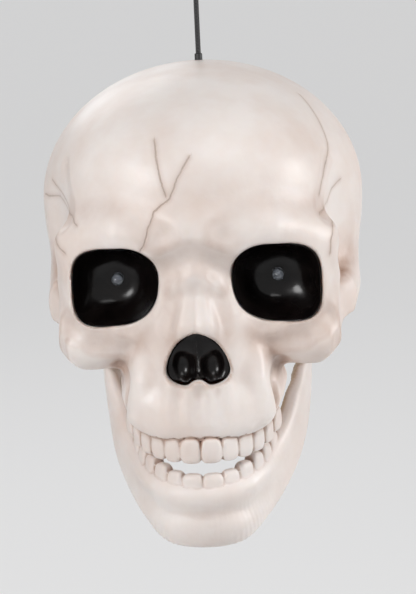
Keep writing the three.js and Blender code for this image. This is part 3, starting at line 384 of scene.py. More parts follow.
def outlineField(p, points):
    # signed distance in the front view to a closed outline
    x, z = p[:, 0], p[:, 2]
    nearest = np.full(len(p), 1e6, np.float32)
    inside = np.zeros(len(p), bool)
    for (ax, az), (bx, bz) in zip(points, np.roll(points, -1, axis=0)):
        ex, ez = bx - ax, bz - az
        t = np.clip(((x - ax) * ex + (z - az) * ez) / (ex * ex + ez * ez), 0, 1)
        nearest = np.minimum(nearest, (x - ax - t * ex) ** 2 + (z - az - t * ez) ** 2)
        inside ^= ((az > z) != (bz > z)) & (x < ex * (z - az) / (ez if abs(ez) > 1e-9 else 1e-9) + ax)
    return np.sqrt(nearest) * np.where(inside, -1, 1)


def blend(a, b, width):
    near = np.maximum(width - np.abs(a - b), 0) / width
    return np.minimum(a, b) - near * near * width / 4


def carve(a, tool, width):
    return -blend(-a, tool, width)


def shapeBox(shape):
    if "path" in shape:
        points = np.array(shape["path"], float)
        size = max(shape["radius"], shape.get("endRadius", 0)) * shape.get("stretch", 1.0)
    elif "half" in shape:
        points = np.array([shape["at"]])
        size = np.array([shape["half"], shape["radius"], shape["radius"]])
    else:
        points = np.array([shape["at"]])
        size = np.array([*shape["radii"][:2], max(shape["radii"][2], shape.get("low", 0))])
    return points.min(0) - size, points.max(0) + size


sculptReach = 14.0  # a form isn't worked out for points further off


def sculpt(p, forms, d=None):
    d = np.full(len(p), veryFar, np.float32) if d is None else d
    for how, softness, shape in forms:
        low, high = shapeBox(shape)
        margin = softness + sculptReach
        near = np.flatnonzero(((p > low - margin) & (p < high + margin)).all(1))
        if not len(near):
            continue
        q = p[near]
        if shape.get("rise"):
            q[:, 2] -= biteRise(q[:, 1])
        kind = pathField if "path" in shape else discField if "half" in shape else ballField
        d[near] = (blend if how == "add" else carve)(d[near], kind(q, shape), softness)
    return d


# A surface through the zero of a field: one vertex in each grid cell that the surface crosses
def surfaceOf(field, low, high, cell, size=16):
    # worked out in blocks, and only in those that the surface may cross
    low, high = np.array(low, float), np.array(high, float)
    count = np.ceil((high - low) / cell / size).astype(int)
    values = np.full(tuple(count * size + 1), veryFar, np.float32)
    blocks = np.stack(np.meshgrid(*[np.arange(n) for n in count], indexing="ij"), -1).reshape(-1, 3)
    middle = field((low + (blocks + 0.5) * size * cell).astype(np.float32))
    reach = size * cell * 0.87 * 1.5 + 4  # half a block's diagonal, and room for fields that aren't exact
    for at in blocks[middle < -reach]:
        x, y, z = at * size
        values[x:x + size + 1, y:y + size + 1, z:z + size + 1] = -veryFar
    steps = np.arange(size + 1)
    local = np.stack(np.meshgrid(steps, steps, steps, indexing="ij"), -1).reshape(-1, 3)

    def fill(at):
        grid = at * size + local
        values[tuple(grid.T)] = field((low + grid * cell).astype(np.float32))

    with ThreadPoolExecutor(workerCount) as workers:
        list(workers.map(fill, blocks[np.abs(middle) <= reach]))
    return netOf(values, low, cell)


def netOf(values, low, cell):
    inside = values < 0
    corners = [(i, j, k) for i in (0, 1) for j in (0, 1) for k in (0, 1)]
    shape = [n - 1 for n in inside.shape]
    total = sum(inside[i:i + shape[0], j:j + shape[1], k:k + shape[2]].astype(np.int8) for i, j, k in corners)
    mixed = (total > 0) & (total < 8)
    index = np.full(mixed.shape, -1, np.int64)
    cells = np.argwhere(mixed)
    index[mixed] = np.arange(len(cells))
    sums, hits = np.zeros((len(cells), 3)), np.zeros(len(cells))
    at = {c: values[cells[:, 0] + c[0], cells[:, 1] + c[1], cells[:, 2] + c[2]] for c in corners}
    for axis in range(3):
        for corner in corners:
            if corner[axis]:
                continue
            other = tuple(1 if a == axis else corner[a] for a in range(3))
            a, b = at[corner], at[other]
            crossed = (a < 0) != (b < 0)
            point = np.tile(np.array(corner, float), (len(cells), 1))
            point[:, axis] = np.where(crossed, a / np.where(crossed, a - b, 1), 0)
            sums += point * crossed[:, None]
            hits += crossed
    vertices = low + (cells + sums / hits[:, None]) * cell
    faces = []
    for axis in range(3):
        b, c = (axis + 1) % 3, (axis + 2) % 3
        first = np.take(inside, range(inside.shape[axis] - 1), axis)
        second = np.take(inside, range(1, inside.shape[axis]), axis)
        edges = np.argwhere(first != second)
        edges = edges[(edges[:, b] > 0) & (edges[:, c] > 0)]
        edges = edges[(edges[:, b] < inside.shape[b] - 1) & (edges[:, c] < inside.shape[c] - 1)]
        outward = first[edges[:, 0], edges[:, 1], edges[:, 2]]

        def around(db, dc):
            near = edges.copy()
            near[:, b] -= db
            near[:, c] -= dc
            return index[near[:, 0], near[:, 1], near[:, 2]]

        quads = np.stack([around(0, 0), around(1, 0), around(1, 1), around(0, 1)], 1)
        faces.append(np.where(outward[:, None], quads, quads[:, ::-1]))
    return vertices, np.concatenate(faces)


def slopeOf(field, points, step=0.4):
    points = points.astype(np.float32)
    slope = np.zeros((len(points), 3), np.float32)
    for axis in range(3):
        shift = np.zeros(3, np.float32)
        shift[axis] = step
        slope[:, axis] = field(points + shift) - field(points - shift)
    return slope / (np.linalg.norm(slope, axis=1, keepdims=True) + 1e-9)


def inChunks(function, points, size=20000):
    parts = [points[i:i + size] for i in range(0, len(points), size)]
    with ThreadPoolExecutor(workerCount) as workers:
        return np.concatenate(list(workers.map(function, parts)))


# Teeth, set side by side along a half ellipse
teeth = {
    "widths": [8.9, 7.5, 7.6, 7.3, 7.3, 9.0],
    "depths": [6.1, 6.0, 6.8, 7.4, 7.8, 8.6],
    "heights": [12.0, 12.0, 12.6, 12.0, 12.0, 12.0],
    "front": 3, "frontEdge": 0.2, "sideEdge": 0.08, "lean": 0.3,  # how the biting edge thins
    "taper": 0.1, "power": 3.6, "softness": 0.7, "swell": 0.55, "step": 0.004,
}
arches = {
    "upper": {"width": 68.0, "depth": 47.0, "front": 92.5, "bite": -78.5, "rise": 1, "pocket": 0.45,
              "lifts": ((-92.5, -84, -78, -72, -66, -56), (0, 0.9, 2.2, 4.1, 7.0, 12.0))},
    "lower": {"width": 60.0, "depth": 42.0, "front": 88.5, "bite": -84.4, "rise": -1, "pocket": 0.25,
              "lifts": ((-88.5, -84, -81, -76.5, -69.7, -62, -50), (0, 1.3, 3.0, 5.0, 7.6, 10.8, 15.6))},
}


def biteRise(y):
    return 0.3 * (y + arches["upper"]["front"])


def rowLevel(row, y):
    return row["bite"] + np.interp(y, *row["lifts"])


def archPoint(row, turn):
    return np.array([row["width"] / 2 * math.sin(turn), -row["front"] + row["depth"] * (1 - math.cos(turn))])


def placeTeeth(row):
    placed, walked, turn, step = [], 0.0, 0.0, teeth["step"]
    for i, (width, depth, height) in enumerate(zip(teeth["widths"], teeth["depths"], teeth["heights"])):
        middle = sum(teeth["widths"][:i]) + width / 2
        while walked < middle:
            walked += np.linalg.norm(archPoint(row, turn + step) - archPoint(row, turn))
            turn += step
        x, y = archPoint(row, turn)
        run = archPoint(row, turn + step) - archPoint(row, turn - step)
        z = rowLevel(row, y) + row["rise"] * height / 2
        placed.append({"at": (x, y, z), "run": run / np.linalg.norm(run), "width": width, "depth": depth,
                       "height": height, "rise": row["rise"], "pocket": row["pocket"],
                       "thin": teeth["frontEdge"] if i < teeth["front"] else teeth["sideEdge"]})
    return placed


upperTeeth, lowerTeeth = placeTeeth(arches["upper"]), placeTeeth(arches["lower"])


def toothField(p, tooth, grown=0.0):
    d = p - np.array(tooth["at"], np.float32)
    run, depth, half = tooth["run"], tooth["depth"], tooth["height"] / 2
    across = d[:, 0] * run[0] + d[:, 1] * run[1]
    through = -d[:, 0] * run[1] + d[:, 1] * run[0]
    toRoot = np.clip(d[:, 2] * tooth["rise"] / half, -1, 1)
    wide = tooth["width"] * teeth["swell"] * (1 - teeth["taper"] * np.maximum(toRoot, 0)) + grown
    thin = tooth["thin"] * np.maximum(-toRoot, 0) ** 2
    deep = depth / 2 * (1 - thin) + grown
    back = thin * depth * teeth["lean"]  # the edge stays near the lip side
    local = np.stack([across / wide, (through + back) / deep, d[:, 2] / (half + grown)], 1)
    reach = (np.abs(local) ** teeth["power"]).sum(1) ** (1 / teeth["power"])
    return fromReach(reach, np.sqrt((d * d).sum(1)), -2)


def addTeeth(p, d, row):
    # a pocket in the gum for each tooth, then the teeth in them
    nearby = [np.flatnonzero((np.abs(p - np.array(tooth["at"], np.float32)) < tooth["height"] + 2).all(1))
              for tooth in row]
    for fold, inPocket in ((carve, True), (blend, False)):
        for tooth, near in zip(row, nearby):
            if len(near):
                form = toothField(p[near], tooth, tooth["pocket"] if inPocket else 0.0)
                d[near] = fold(d[near], form, teeth["softness"])
    return d


bite = {"pivot": (-4.0, -33.0), "shut": math.radians(2.5), "room": 0.35, "softness": 0.4, "below": -62}


def cutBite(q, d):
    # room in the upper teeth for the lower ones when the jaw is shut
    near = np.flatnonzero((q[:, 2] < bite["below"]) & (np.abs(d) < 5))
    if len(near):
        (pivotY, pivotZ), cosine, sine = bite["pivot"], math.cos(bite["shut"]), math.sin(bite["shut"])
        y, z = q[near, 1] - pivotY, q[near, 2] - pivotZ
        turned = q[near]
        turned[:, 1], turned[:, 2] = pivotY + y * cosine - z * sine, pivotZ + y * sine + z * cosine
        for tooth in lowerTeeth:
            d[near] = carve(d[near], toothField(turned, tooth) - bite["room"], bite["softness"])
    return d


# Head: both halves of the sculpted shell
softWidth, firmWidth, crispWidth = 12.0, 7.5, 4.5
headForms = [  # these repeat the CAD part's forms
    ("add", softWidth, {"at": (0, 3, 27.9), "radii": (74.8, 86, 61.2), "low": 97.6}),
    ("add", softWidth, {"at": (0, -28.8, 36), "radii": (60, 57.6, 46.8), "power": 2.3}),
    ("add", softWidth, {"at": (0, -27, -22.4), "radii": (43.5, 50.4, 28.8), "power": 2.4}),
    ("add", softWidth, {"path": [(57, 18, -20), (54, 23.4, -41.6)], "radius": 9}),
    ("cut", crispWidth, {"at": (0, 0, -246), "radii": (400, 400, 200), "power": 12}),
    ("cut", softWidth, {"at": (71.25, -50.4, 5.4), "radii": (12.75, 21.6, 27)}),
    ("cut", 9.0, {"at": (86, -54, 22), "radii": (26, 30, 36), "power": 2.4}),
    ("add", softWidth, {"at": (0, -79.2, 22.5), "radii": (18, 10.8, 11.7)}),
    ("add", softWidth, {"path": [(9, -80.1, 22.5), (33, -79.2, 24.3), (54, -63, 18)], "radius": 9}),
    ("add", firmWidth, {"at": (37.5, -64.8, 1.8), "radii": (23.25, 15.3, 27), "power": 2.4}),
    ("add", firmWidth, {"at": (0, -63, -41.6), "radii": (33.75, 28.8, 28.8), "power": 2.5}),
    ("add", firmWidth, {"at": (0, -59.4, -60), "radii": (33.75, 34.65, 16), "power": 2.8, "rise": True}),
    ("add", softWidth, {"at": (49.5, -61.2, -26.4), "radii": (17.25, 16.2, 14.4), "power": 2.2}),
    ("add", firmWidth, {"path": [(54, -61.2, 14.4), (56.6, -55.8, 0), (54.75, -59.4, -16)], "radius": 7.5}),
    ("add", firmWidth, {"path": [(54.75, -59.4, -16), (39.75, -71.1, -23.2), (18.75, -76.5, -15.2)],
                        "radius": 7.5}),
    ("add", firmWidth, {"path": [(12, -77.4, 9.9), (12.75, -81, -14.4), (17.25, -82.8, -32)], "radius": 6.4}),
    ("add", firmWidth, {"at": (0, -81, -30.4), "radii": (15, 12.6, 16)}),
    ("add", firmWidth, {"path": [(2.6, -80.1, 12.6), (3.2, -84.6, -4.8), (4.0, -90, -16)], "radius": 6.2}),
    ("add", firmWidth, {"path": [(57.75, -54, -20.8), (66, -36, -15.2), (67.5, -13.5, -13.6),
                                 (65.25, 9, -13.6)], "radius": 5.25, "stretch": 2.1}),
    ("cut", softWidth, {"at": (27, -95.5, -32), "radii": (8.5, 8.5, 12)}),
    ("add", crispWidth, {"path": [(0, -88.2, -41.6), (0, -92.6, -37.6)], "radius": 3.0}),
]
headDetails = [  # finer work over them, the same on both sides
    ("cut", 5.0, {"at": (72, -58, -46), "radii": (16, 30, 17)}),  # corner under the cheek
    ("cut", 3.0, {"at": (94, -58, -20), "radii": (30.5, 22, 26), "power": 3.0}),  # flat side of the cheek
    ("cut", 4.0, {"path": [(63, -57, 10), (66, -52, 2), (69.5, -44, -3)], "radius": 3.4}),  # over the arch
    ("cut", 3.0, {"path": [(14.2, -88.6, 4.5), (17.8, -88.2, -3), (19.6, -87.4, -10)],
                  "radius": 2.6, "endRadius": 1.4}),
    ("cut", 5.0, {"path": [(10.4, -89.6, 5), (11.4, -91.4, -6), (14.5, -93.4, -17)], "radius": 2.4}),
    ("cut", 6.0, {"path": [(62.8, -46.5, 50), (62.2, -53.6, 42), (60.8, -59.4, 35.5), (60.4, -64, 29)],
                  "radius": 2.9}),  # temple
    ("cut", 7.0, {"path": [(22, -90.5, -8), (30, -84, -18)], "radius": 2.0}),
    ("cut", 5.0, {"path": [(60.5, -75.4, -16.8), (55.4, -79.2, -20.6), (49.9, -81, -22.6),
                           (42.9, -82.6, -22.4)], "radius": 4.2}),  # the cheek's furrows
    ("cut", 5.0, {"path": [(47, -81, -26.8), (34, -82.0, -28.8)], "radius": 3.6}),
    ("cut", 5.0, {"path": [(62.3, -74.6, -17.5), (64.8, -73.0, -24), (64.2, -72.0, -31)], "radius": 2.2}),
    ("add", 5.0, {"path": [(7.5, -83, 3), (0, -85.8, 7.0)], "radius": 5.2}),  # root of the nose
    ("cut", 7.0, {"path": [(17, -88.6, 6), (10.5, -92, 12), (4.5, -94.6, 15), (0, -95.4, 15.6)],
                  "radius": 3.4}),  # furrow above it
    ("cut", 9.0, {"path": [(15, -94.5, 25), (27, -95.5, 36)], "radius": 3.2}),
    ("add", 5.0, {"path": [(0, -90.0, -62.4), (12, -88.4, -61.8), (21.5, -82.4, -60), (28.2, -73, -57),
                           (32, -62, -53.6), (33.6, -50, -50)], "radius": 4.4}),  # gum over the upper teeth
    ("add", 7.0, {"path": [(25, -79, -33), (26, -82, -43), (27.8, -80.5, -58)],
                  "radius": 2.2, "endRadius": 4.0}),  # roots
    ("add", 3.0, {"path": [(12.6, -88.9, -44), (13.2, -89.4, -60)], "radius": 2.4, "endRadius": 3.4}),
    ("add", 3.0, {"path": [(4.3, -90.8, -46), (4.6, -91.4, -60)], "radius": 2.2, "endRadius": 2.8}),
    ("cut", 3.0, {"path": [(36.4, -72, -38), (33.8, -76.5, -46), (33.6, -74.5, -56)], "radius": 2.6}),
]
oneSided = [  # marks on the bridge of the nose
    ("cut", 2.4, {"path": [(8.6, -91, 6.2), (12.4, -90.2, 2.0), (15.6, -89.6, -6)], "radius": 1.6}),
]
jointPocket = ("cut", 1.5, {"at": (61.55, -20.25, -49.6), "radii": (18.75, 27, 25.6), "power": 7})
opening = {"width": 39.6, "height": 36.4, "outerPower": 3.5, "innerPower": 2.35, "lean": -0.1,
           "backAt": -60.4, "softness": 1.6}
foldRound = 1.2  # square millimetres: the midline is folded softly, so that it has no crease
noseOpening = {
    "width": 29.6, "height": 25.0, "drop": 31.0, "backAt": -78.0, "softness": 1.8,
    "shares": [(0, 0.5), (0.14, 0.46), (0.3, 0.3), (0.43, 0.06), (0.5, -0.22), (0.45, -0.38), (0.31, -0.47),
               (0.17, -0.5), (0.08, -0.4), (0, -0.36)],
}


def noseOutline(inset=0.0):
    width, height = noseOpening["width"] - 2 * inset, noseOpening["height"] - 2 * inset
    right = [(x * width, z * height - noseOpening["drop"]) for x, z in noseOpening["shares"]]
    points = np.array(right + [(-x, z) for x, z in right[1:-1][::-1]])
    for _ in range(2):  # corners cut twice, for a smooth line
        following = np.roll(points, -1, axis=0)
        pair = [points * (1 - share) + following * share for share in (0.25, 0.75)]
        points = np.stack(pair, 1).reshape(-1, 2)
    return points


nosePoints = noseOutline()


def eyeField(p):
    x, z = p[:, 0] - fit["eyeX"], p[:, 2] - fit["eyeLift"]
    z = z - x * opening["lean"]
    wide, tall = opening["width"] / 2, opening["height"] / 2
    power = np.where(x > 0, opening["outerPower"], opening["innerPower"])
    reach = (np.abs(x / wide) ** power + np.abs(z / tall) ** power) ** (1 / power)
    return fromReach(reach, np.hypot(x, z), -tall)


def skinField(p):
    # the head's skin without its openings
    return sculpt(folded(p), headForms)


def headField(p):
    q = p.copy()
    q[:, 0] = np.sqrt(q[:, 0] ** 2 + foldRound)
    d = sculpt(p, oneSided, sculpt(q, headDetails, sculpt(q, headForms)))
    q[:, 0] = np.abs(p[:, 0])
    near = np.flatnonzero((q[:, 1] < -52) & (np.abs(d) < 30) & (np.abs(q[:, 2]) < 40))
    if len(near):
        tool = np.maximum(eyeField(q[near]), q[near, 1] - opening["backAt"])
        d[near] = carve(d[near], tool, opening["softness"])
    near = np.flatnonzero((q[:, 1] < -66) & (q[:, 0] < 30) & (np.abs(q[:, 2] + 30) < 30))
    if len(near):
        tool = np.maximum(outlineField(p[near], nosePoints), q[near, 1] - noseOpening["backAt"])
        d[near] = carve(d[near], tool, noseOpening["softness"])
    return sculpt(q, [jointPocket], cutBite(q, addTeeth(q, d, upperTeeth)))


def innerField(p):
    how, softness, shape = jointPocket
    grown = {**shape, "radii": tuple(radius + fit["wall"] for radius in shape["radii"])}
    q = folded(p)
    d = sculpt(q, headDetails, sculpt(q, headForms)) + fit["wall"]
    return sculpt(q, [(how, softness, grown)], d)


meshCells = {"head": 0.92, "inner": 2.6, "jaw": 0.72, "nose": 0.4}
headBox = ((-80, -104, -96), (80, 94, 94))


def shapedPiece(name, field, box, cell, material=None):
    vertices, faces = surfaceOf(field, *box, cell)

    def stepTo(part):
        return field(part.astype(np.float32))[:, None] * slopeOf(field, part)

    for _ in range(2):  # vertices pulled onto the true surface
        vertices = vertices - np.clip(inChunks(stepTo, vertices), -cell / 2, cell / 2)
    return addPiece(name, vertices, faces, material)


outerHead = shapedPiece("outerHead", headField, headBox, meshCells["head"])
innerHead = shapedPiece("innerHead", innerField, headBox, meshCells["inner"])
print("skull: head sculpted,", len(outerHead.data.polygons), "faces")


def block(low, high, inRow=False):
    (x0, y0, z0), (x1, y1, z1) = low, high
    corners = [(x, y, z) for x in (x0, x1) for y in (y0, y1) for z in (z0, z1)]
    faces = [(0, 1, 3, 2), (4, 6, 7, 5), (0, 4, 5, 1), (2, 3, 7, 6), (0, 2, 6, 4), (1, 5, 7, 3)]
    return addPiece("tool", corners, faces, None, smooth=False, inRow=inRow)


def slab(x, y, wide, deep, low, high):
    return block((x - wide / 2, y - deep / 2, low), (x + wide / 2, y + deep / 2, high))


def rod(axis, start, end, radius, at, sides=40):
    # a rod along an axis, from one place on it to another
    angles = np.arange(sides) / sides * 2 * np.pi
    a, b, c = {"x": (0, 1, 2), "y": (1, 2, 0), "z": (2, 0, 1)}[axis]
    vertices = np.zeros((2 * sides, 3))
    vertices[:, a] = np.repeat((start, end), sides)
    vertices[:, b] = np.tile(at[b] + radius * np.cos(angles), 2)
    vertices[:, c] = np.tile(at[c] + radius * np.sin(angles), 2)
    faces = bandOf(0, sides, sides) + [list(range(sides))[::-1], list(range(sides, 2 * sides))]
    return addPiece("tool", vertices, faces, None, smooth=False)


def settle(piece):
    # what the modifiers make becomes the mesh
    graph = bpy.context.evaluated_depsgraph_get()
    mesh = bpy.data.meshes.new_from_object(piece.evaluated_get(graph))
    piece.modifiers.clear()
    piece.data = mesh


def joined(*tools):
    return [("UNION", tool) for tool in tools]


def cut(*tools):
    return [("DIFFERENCE", tool) for tool in tools]


def shaped(piece, steps):
    # joins, cuts or keeps the overlap with each tool in turn
    for operation, tool in steps:
        modifier = piece.modifiers.new("shape", "BOOLEAN")
        modifier.operation, modifier.object, modifier.solver = operation, tool, "MANIFOLD"
    settle(piece)
    for _, tool in steps:
        bpy.data.objects.remove(tool)
    return piece


def copyOf(piece, name):
    return linked(name, piece.data.copy())


parting = {"front": 8.0, "back": 8.3}
pivot = {"at": (0, -4, -33), "wall": 42.5, "seat": 3, "seatRoom": 0.3, "earRadius": 7.5, "earRoom": 0.6,
         "bore": 2.3, "bossRadius": 5.0, "bossDepth": 12.0}


towers = {"places": [(52, 44), (52, -19)], "radius": 4.8, "stem": 4.5, "stemFront": -9.0, "web": 1.5,
          "well": 3.1, "wellFront": 12.3, "bore": 1.8}
base = {
    "bottom": -46.0, "low": -45.0, "padTop": -41.0, "recessTop": -43.5, "below": -52.0, "above": -35.0,
    "boxY": 27.0, "pad": (0, 26.85, 64.7, 34.6), "earY": 43.75, "lobe": 5.6, "lugX": 30.45, "lug": 3.3,
    "opening": (51.7, 21.9), "recess": (57.3, 27.5), "earRecess": 3.9, "doorBore": 2.3, "boxBore": 1.4,
    "tongues": {"x": 16.0, "y": 14.8, "size": (8.6, 7.5), "z": (-44.1, -39.1)},
    "switch": (41.0, 20.0), "switchPad": (10.0, 18.0), "switchSlot": (3.6, 8.2), "cord": 2.2,
}


def insideHead(tool):
    return shaped(tool, [("INTERSECT", copyOf(outerHead, "tool"))])


def makeFace():
    face = copyOf(outerHead, "face")
    front, back, web = towers["stemFront"], parting["front"], towers["web"]
    at, wall, ear, deep = (pivot[key] for key in ("at", "wall", "earRadius", "bossDepth"))
    steps = cut(copyOf(innerHead, "tool"), block((-99, back, -120), (99, 120, 120)))
    for side in (-1, 1):
        for x, z in towers["places"]:
            place, (low, high) = (side * x, 0, z), sorted((side * x, side * 90))
            plate = block((low, front, z - web), (high, back, z + web))
            steps += joined(insideHead(rod("y", front, back, towers["stem"], place)), insideHead(plate))
            steps += cut(rod("y", front + 3, back + 1, towers["bore"], place))
        steps += joined(rod("x", side * (wall - pivot["seat"]), side * wall, ear + pivot["seatRoom"], at),
                        rod("x", side * (wall - deep), side * wall, pivot["bossRadius"], at))
        steps += cut(rod("x", side * wall, side * 90, ear + pivot["earRoom"], at),
                     rod("x", side * (wall - deep + pivot["seat"]), side * 60, pivot["bore"], at))
    return shaped(face, steps)


def makeRear():
    rear = copyOf(outerHead, "rear")
    low, top, y, ear = base["low"], base["padTop"], base["boxY"], base["earY"]
    below, above, tongues = base["below"], base["above"], base["tongues"]
    steps = cut(copyOf(innerHead, "tool"))
    steps += joined(slab(*base["pad"], low, top), rod("z", low, top, base["lobe"], (0, ear, 0)),
                    slab(*base["switch"], *base["switchPad"], low, top))
    for side in (-1, 1):
        lug = (side * base["lugX"], y, 0)
        steps += joined(rod("z", low, top, base["lug"], lug))
        for x, z in towers["places"]:
            at = (side * x, 0, z)
            steps += joined(insideHead(rod("y", 0, 95, towers["radius"], at)))
            steps += cut(rod("y", towers["wellFront"], 99, towers["well"], at),
                         rod("y", -5, 99, towers["bore"], at))
        steps += cut(rod("z", base["bottom"] + 0.3, above, base["boxBore"], lug),
                     slab(side * tongues["x"], tongues["y"], *tongues["size"], *tongues["z"]))
    steps += cut(slab(0, y, *base["opening"], below, above),
                 slab(0, y, *base["recess"], below, base["recessTop"]),
                 rod("z", below, base["recessTop"], base["earRecess"], (0, ear, 0)),
                 rod("z", below, above, base["doorBore"], (0, ear, 0)),
                 slab(*base["switch"], *base["switchSlot"], below, above),
                 rod("z", 60, 110, base["cord"], (0, fit["cordBack"], 0)),
                 block((-99, -120, -120), (99, parting["back"], 120)))
    return shaped(rear, steps)


facePiece = makeFace()
rearPiece = makeRear()
for tool in (outerHead, innerHead):
    bpy.data.objects.remove(tool)
print("skull: shells cut,", len(facePiece.data.polygons), "and", len(rearPiece.data.polygons), "faces")


# Cracks and worn lines, and on the right temple lines that also paint the edge of the light there as shade:
# each vertex gets its offset to the nearest line and how near it is to one
crackLines = [
    [  # the first set
        [(-15.8, -75.2, 65.8), (-13.7, -83.6, 52.3), (-10.9, -86.3, 42.4)],
        [(-69.4, -29.2, 41.5), (-64.7, -44.1, 34.7), (-60.2, -56.5, 31.8), (-54.9, -68.3, 30.2),
         (-52.8, -73.4, 27.9)],
        # on the right temple this line runs along the edge of the light: a crack line and painted shade at
        # that edge
        [(48.3, -14.1, 75.7), (57.6, -28.9, 64.6), (61.0, -36.9, 56.6), (61.7, -45.5, 48.8),
         (60.5, -52.6, 41.8), (58.7, -58.0, 35.5)],
        [(62.3, -46.7, 29.2), (61.9, -67.1, 22.5), (60.9, -71.0, 17.0), (60.3, -71.4, 11.1)],
    ],
    [  # lines that run close to those
        [(-0.2, -81.7, 58.6), (-5.3, -84.9, 50.4), (-9.2, -86.8, 41.1), (-16.5, -87.7, 35.7),
         (-18.8, -90.0, 29.9), (-21.2, -90.5, 21.1), (-23.2, -89.5, 18.7)],
        [(-73.5, -19.8, 32.9), (-67.7, -37.4, 34.1), (-58.7, -73.3, 15.3)],
        # on the right temple as well: a crack line and painted shade along the edge of the light
        [(60.5, -55.9, 30.3), (57.8, -65.8, 28.8)],
        [(69.0, -34.1, 37.3), (65.7, -41.6, 34.1), (62.8, -45.0, 28.9)],
    ],
]


crackReach = {"farthest": 6.0, "fade": 3.5, "past": 3.0, "round": 25}


def crackOffsets(points, normals, lines):
    # for each vertex, its signed offset from the nearest line and a share that fades away from it
    found = np.zeros((len(points), 3), np.float32)
    nearest = np.full(len(points), crackReach["farthest"])
    for line in lines:
        line = np.array(line, float)
        last = len(line) - 2
        for i in range(last + 1):
            along = line[i + 1] - line[i]
            length = np.linalg.norm(along)
            along /= length
            d = points - line[i]
            t = d @ along
            held = np.clip(t, 0, length)
            offset = d - held[:, None] * along
            offset -= normals * (offset * normals).sum(1)[:, None]
            far = np.linalg.norm(offset, axis=1)
            past = np.maximum(-t, 0) * (i == 0) + np.maximum(t - length, 0) * (i == last)
            close = (far < nearest) & (np.linalg.norm(d, axis=1) < length + crackReach["round"])
            signed = (offset * np.cross(along, normals)).sum(1)
            signed = np.where(np.abs(t - held) > 1e-6, np.sign(signed) * far, signed)
            fade = np.clip(1 - far / crackReach["fade"], 0, 1) * np.clip(1 - past / crackReach["past"], 0, 1)
            nearest[close] = far[close]
            found[close, 0], found[close, 1] = signed[close], fade[close]
    return found


hollowReach = {"hollowNear": 1.6, "hollowFar": 7.0}


def paintAttributes(piece, field, lines=True, inner=None):
    # how deep each vertex lies in a hollow, at two reaches, and how far it faces inward
    flat = np.empty(len(piece.data.vertices) * 3, np.float32)
    piece.data.vertices.foreach_get("co", flat)
    points = toHead(flat.reshape(-1, 3))
    normals = inChunks(lambda part: slopeOf(field, part), points)

    def hollow(reach):
        def depth(part):
            return reach - field((part[:, :3] + part[:, 3:] * reach).astype(np.float32))
        return inChunks(depth, np.hstack([points, normals])) / reach

    values = {name: hollow(reach) for name, reach in hollowReach.items()}
    if inner:
        values["inner"] = inner(points, normals)
    for name, value in values.items():
        layer = piece.data.attributes.new(name, "FLOAT", "POINT")
        layer.data.foreach_set("value", np.clip(value, -1, 2).astype(np.float32))
    for number, group in enumerate(crackLines if lines else []):
        layer = piece.data.attributes.new(f"crack{number}", "FLOAT_VECTOR", "POINT")
        layer.data.foreach_set("vector", crackOffsets(points, normals, group).ravel())


# the wash colour darkens the hollows as the real antiquing wash and as painted shade; the tan colour is
# painted shade on the jaw's inward faces
boneTones = {
    "light": (243, 234, 229), "shade": (231, 215, 206), "washShade": (180, 148, 130), "crack": (158, 134, 118),
    "tanShade": (190, 162, 122),
}


def makeBone(name, cracks=True, inner=False):
    finish = Finish(name, Roughness=0.42, Subsurface_Weight=0.12, Subsurface_Scale=0.004)
    finish.shader.inputs["Subsurface Radius"].default_value = (1.0, 0.7, 0.5)
    patches = finish.ramp(finish.noise(28.0, 4.0, 0.55), 0.35, 0.7)
    tone = finish.mix(patches, boneTones["light"], boneTones["shade"])
    uneven = finish.ramp(finish.noise(90.0, 4.0, 0.6), 0.3, 0.7, 0.45, 1.0)

    def patchy(share):
        return finish.math("MULTIPLY", share, uneven, clamp=True)

    # the hollows are darkened at two reaches, partly by the real antiquing wash and partly as painted shade
    deep = patchy(finish.ramp(finish.attribute("hollowNear"), 0.06, 0.5))
    wide = patchy(finish.ramp(finish.attribute("hollowFar"), 0.12, 0.6, 0.0, 0.8))
    tone = finish.mix(finish.math("MAXIMUM", deep, wide), tone, boneTones["washShade"])
    # painted shade: the jaw's inward faces go toward tan
    if inner:
        tone = finish.mix(patchy(finish.attribute("inner")), tone, boneTones["tanShade"])
    height = finish.math("MULTIPLY", finish.noise(420.0), 0.25)
    wiggle = finish.math("SUBTRACT", finish.noise(210.0, 3.0, 0.6), 0.5)
    # crack lines are darkened with a halo toward the wash colour; on the right temple they also paint the
    # edge of the light as shade
    for number in range(len(crackLines) if cracks else 0):
        parts = finish.node("SeparateXYZ", {"Vector": finish.attribute(f"crack{number}", "Vector")}).outputs
        offset = finish.math("ABSOLUTE", finish.math("MULTIPLY_ADD", wiggle, 1.6, parts["X"]))
        line, halo = (finish.math("MULTIPLY", finish.ramp(offset, *span), parts["Y"], clamp=True)
                      for span in ((0.12, 0.5, 1.0, 0.0), (0.2, 2.8, 0.38, 0.0)))
        tone = finish.mix(halo, tone, boneTones["washShade"])
        tone = finish.mix(finish.math("MULTIPLY", line, 0.45), tone, boneTones["crack"])
        height = finish.math("SUBTRACT", height, line)
    rough = finish.ramp(finish.noise(60.0), 0.3, 0.7, 0.36, 0.5)
    return finish.done(Base_Color=tone, Roughness=rough, Normal=finish.bump(height, 0.5, 0.0007))


boneHead = makeBone("washedShadedBone")
for piece, node in ((facePiece, "face_shell"), (rearPiece, "rear_shell")):
    piece.data.set_sharp_from_angle(angle=math.radians(55))
    paintAttributes(piece, headField)
    piece.data.materials.clear()
    piece.data.materials.append(boneHead)
    give(piece, "head", "bone", node)
print("skull: head finished")


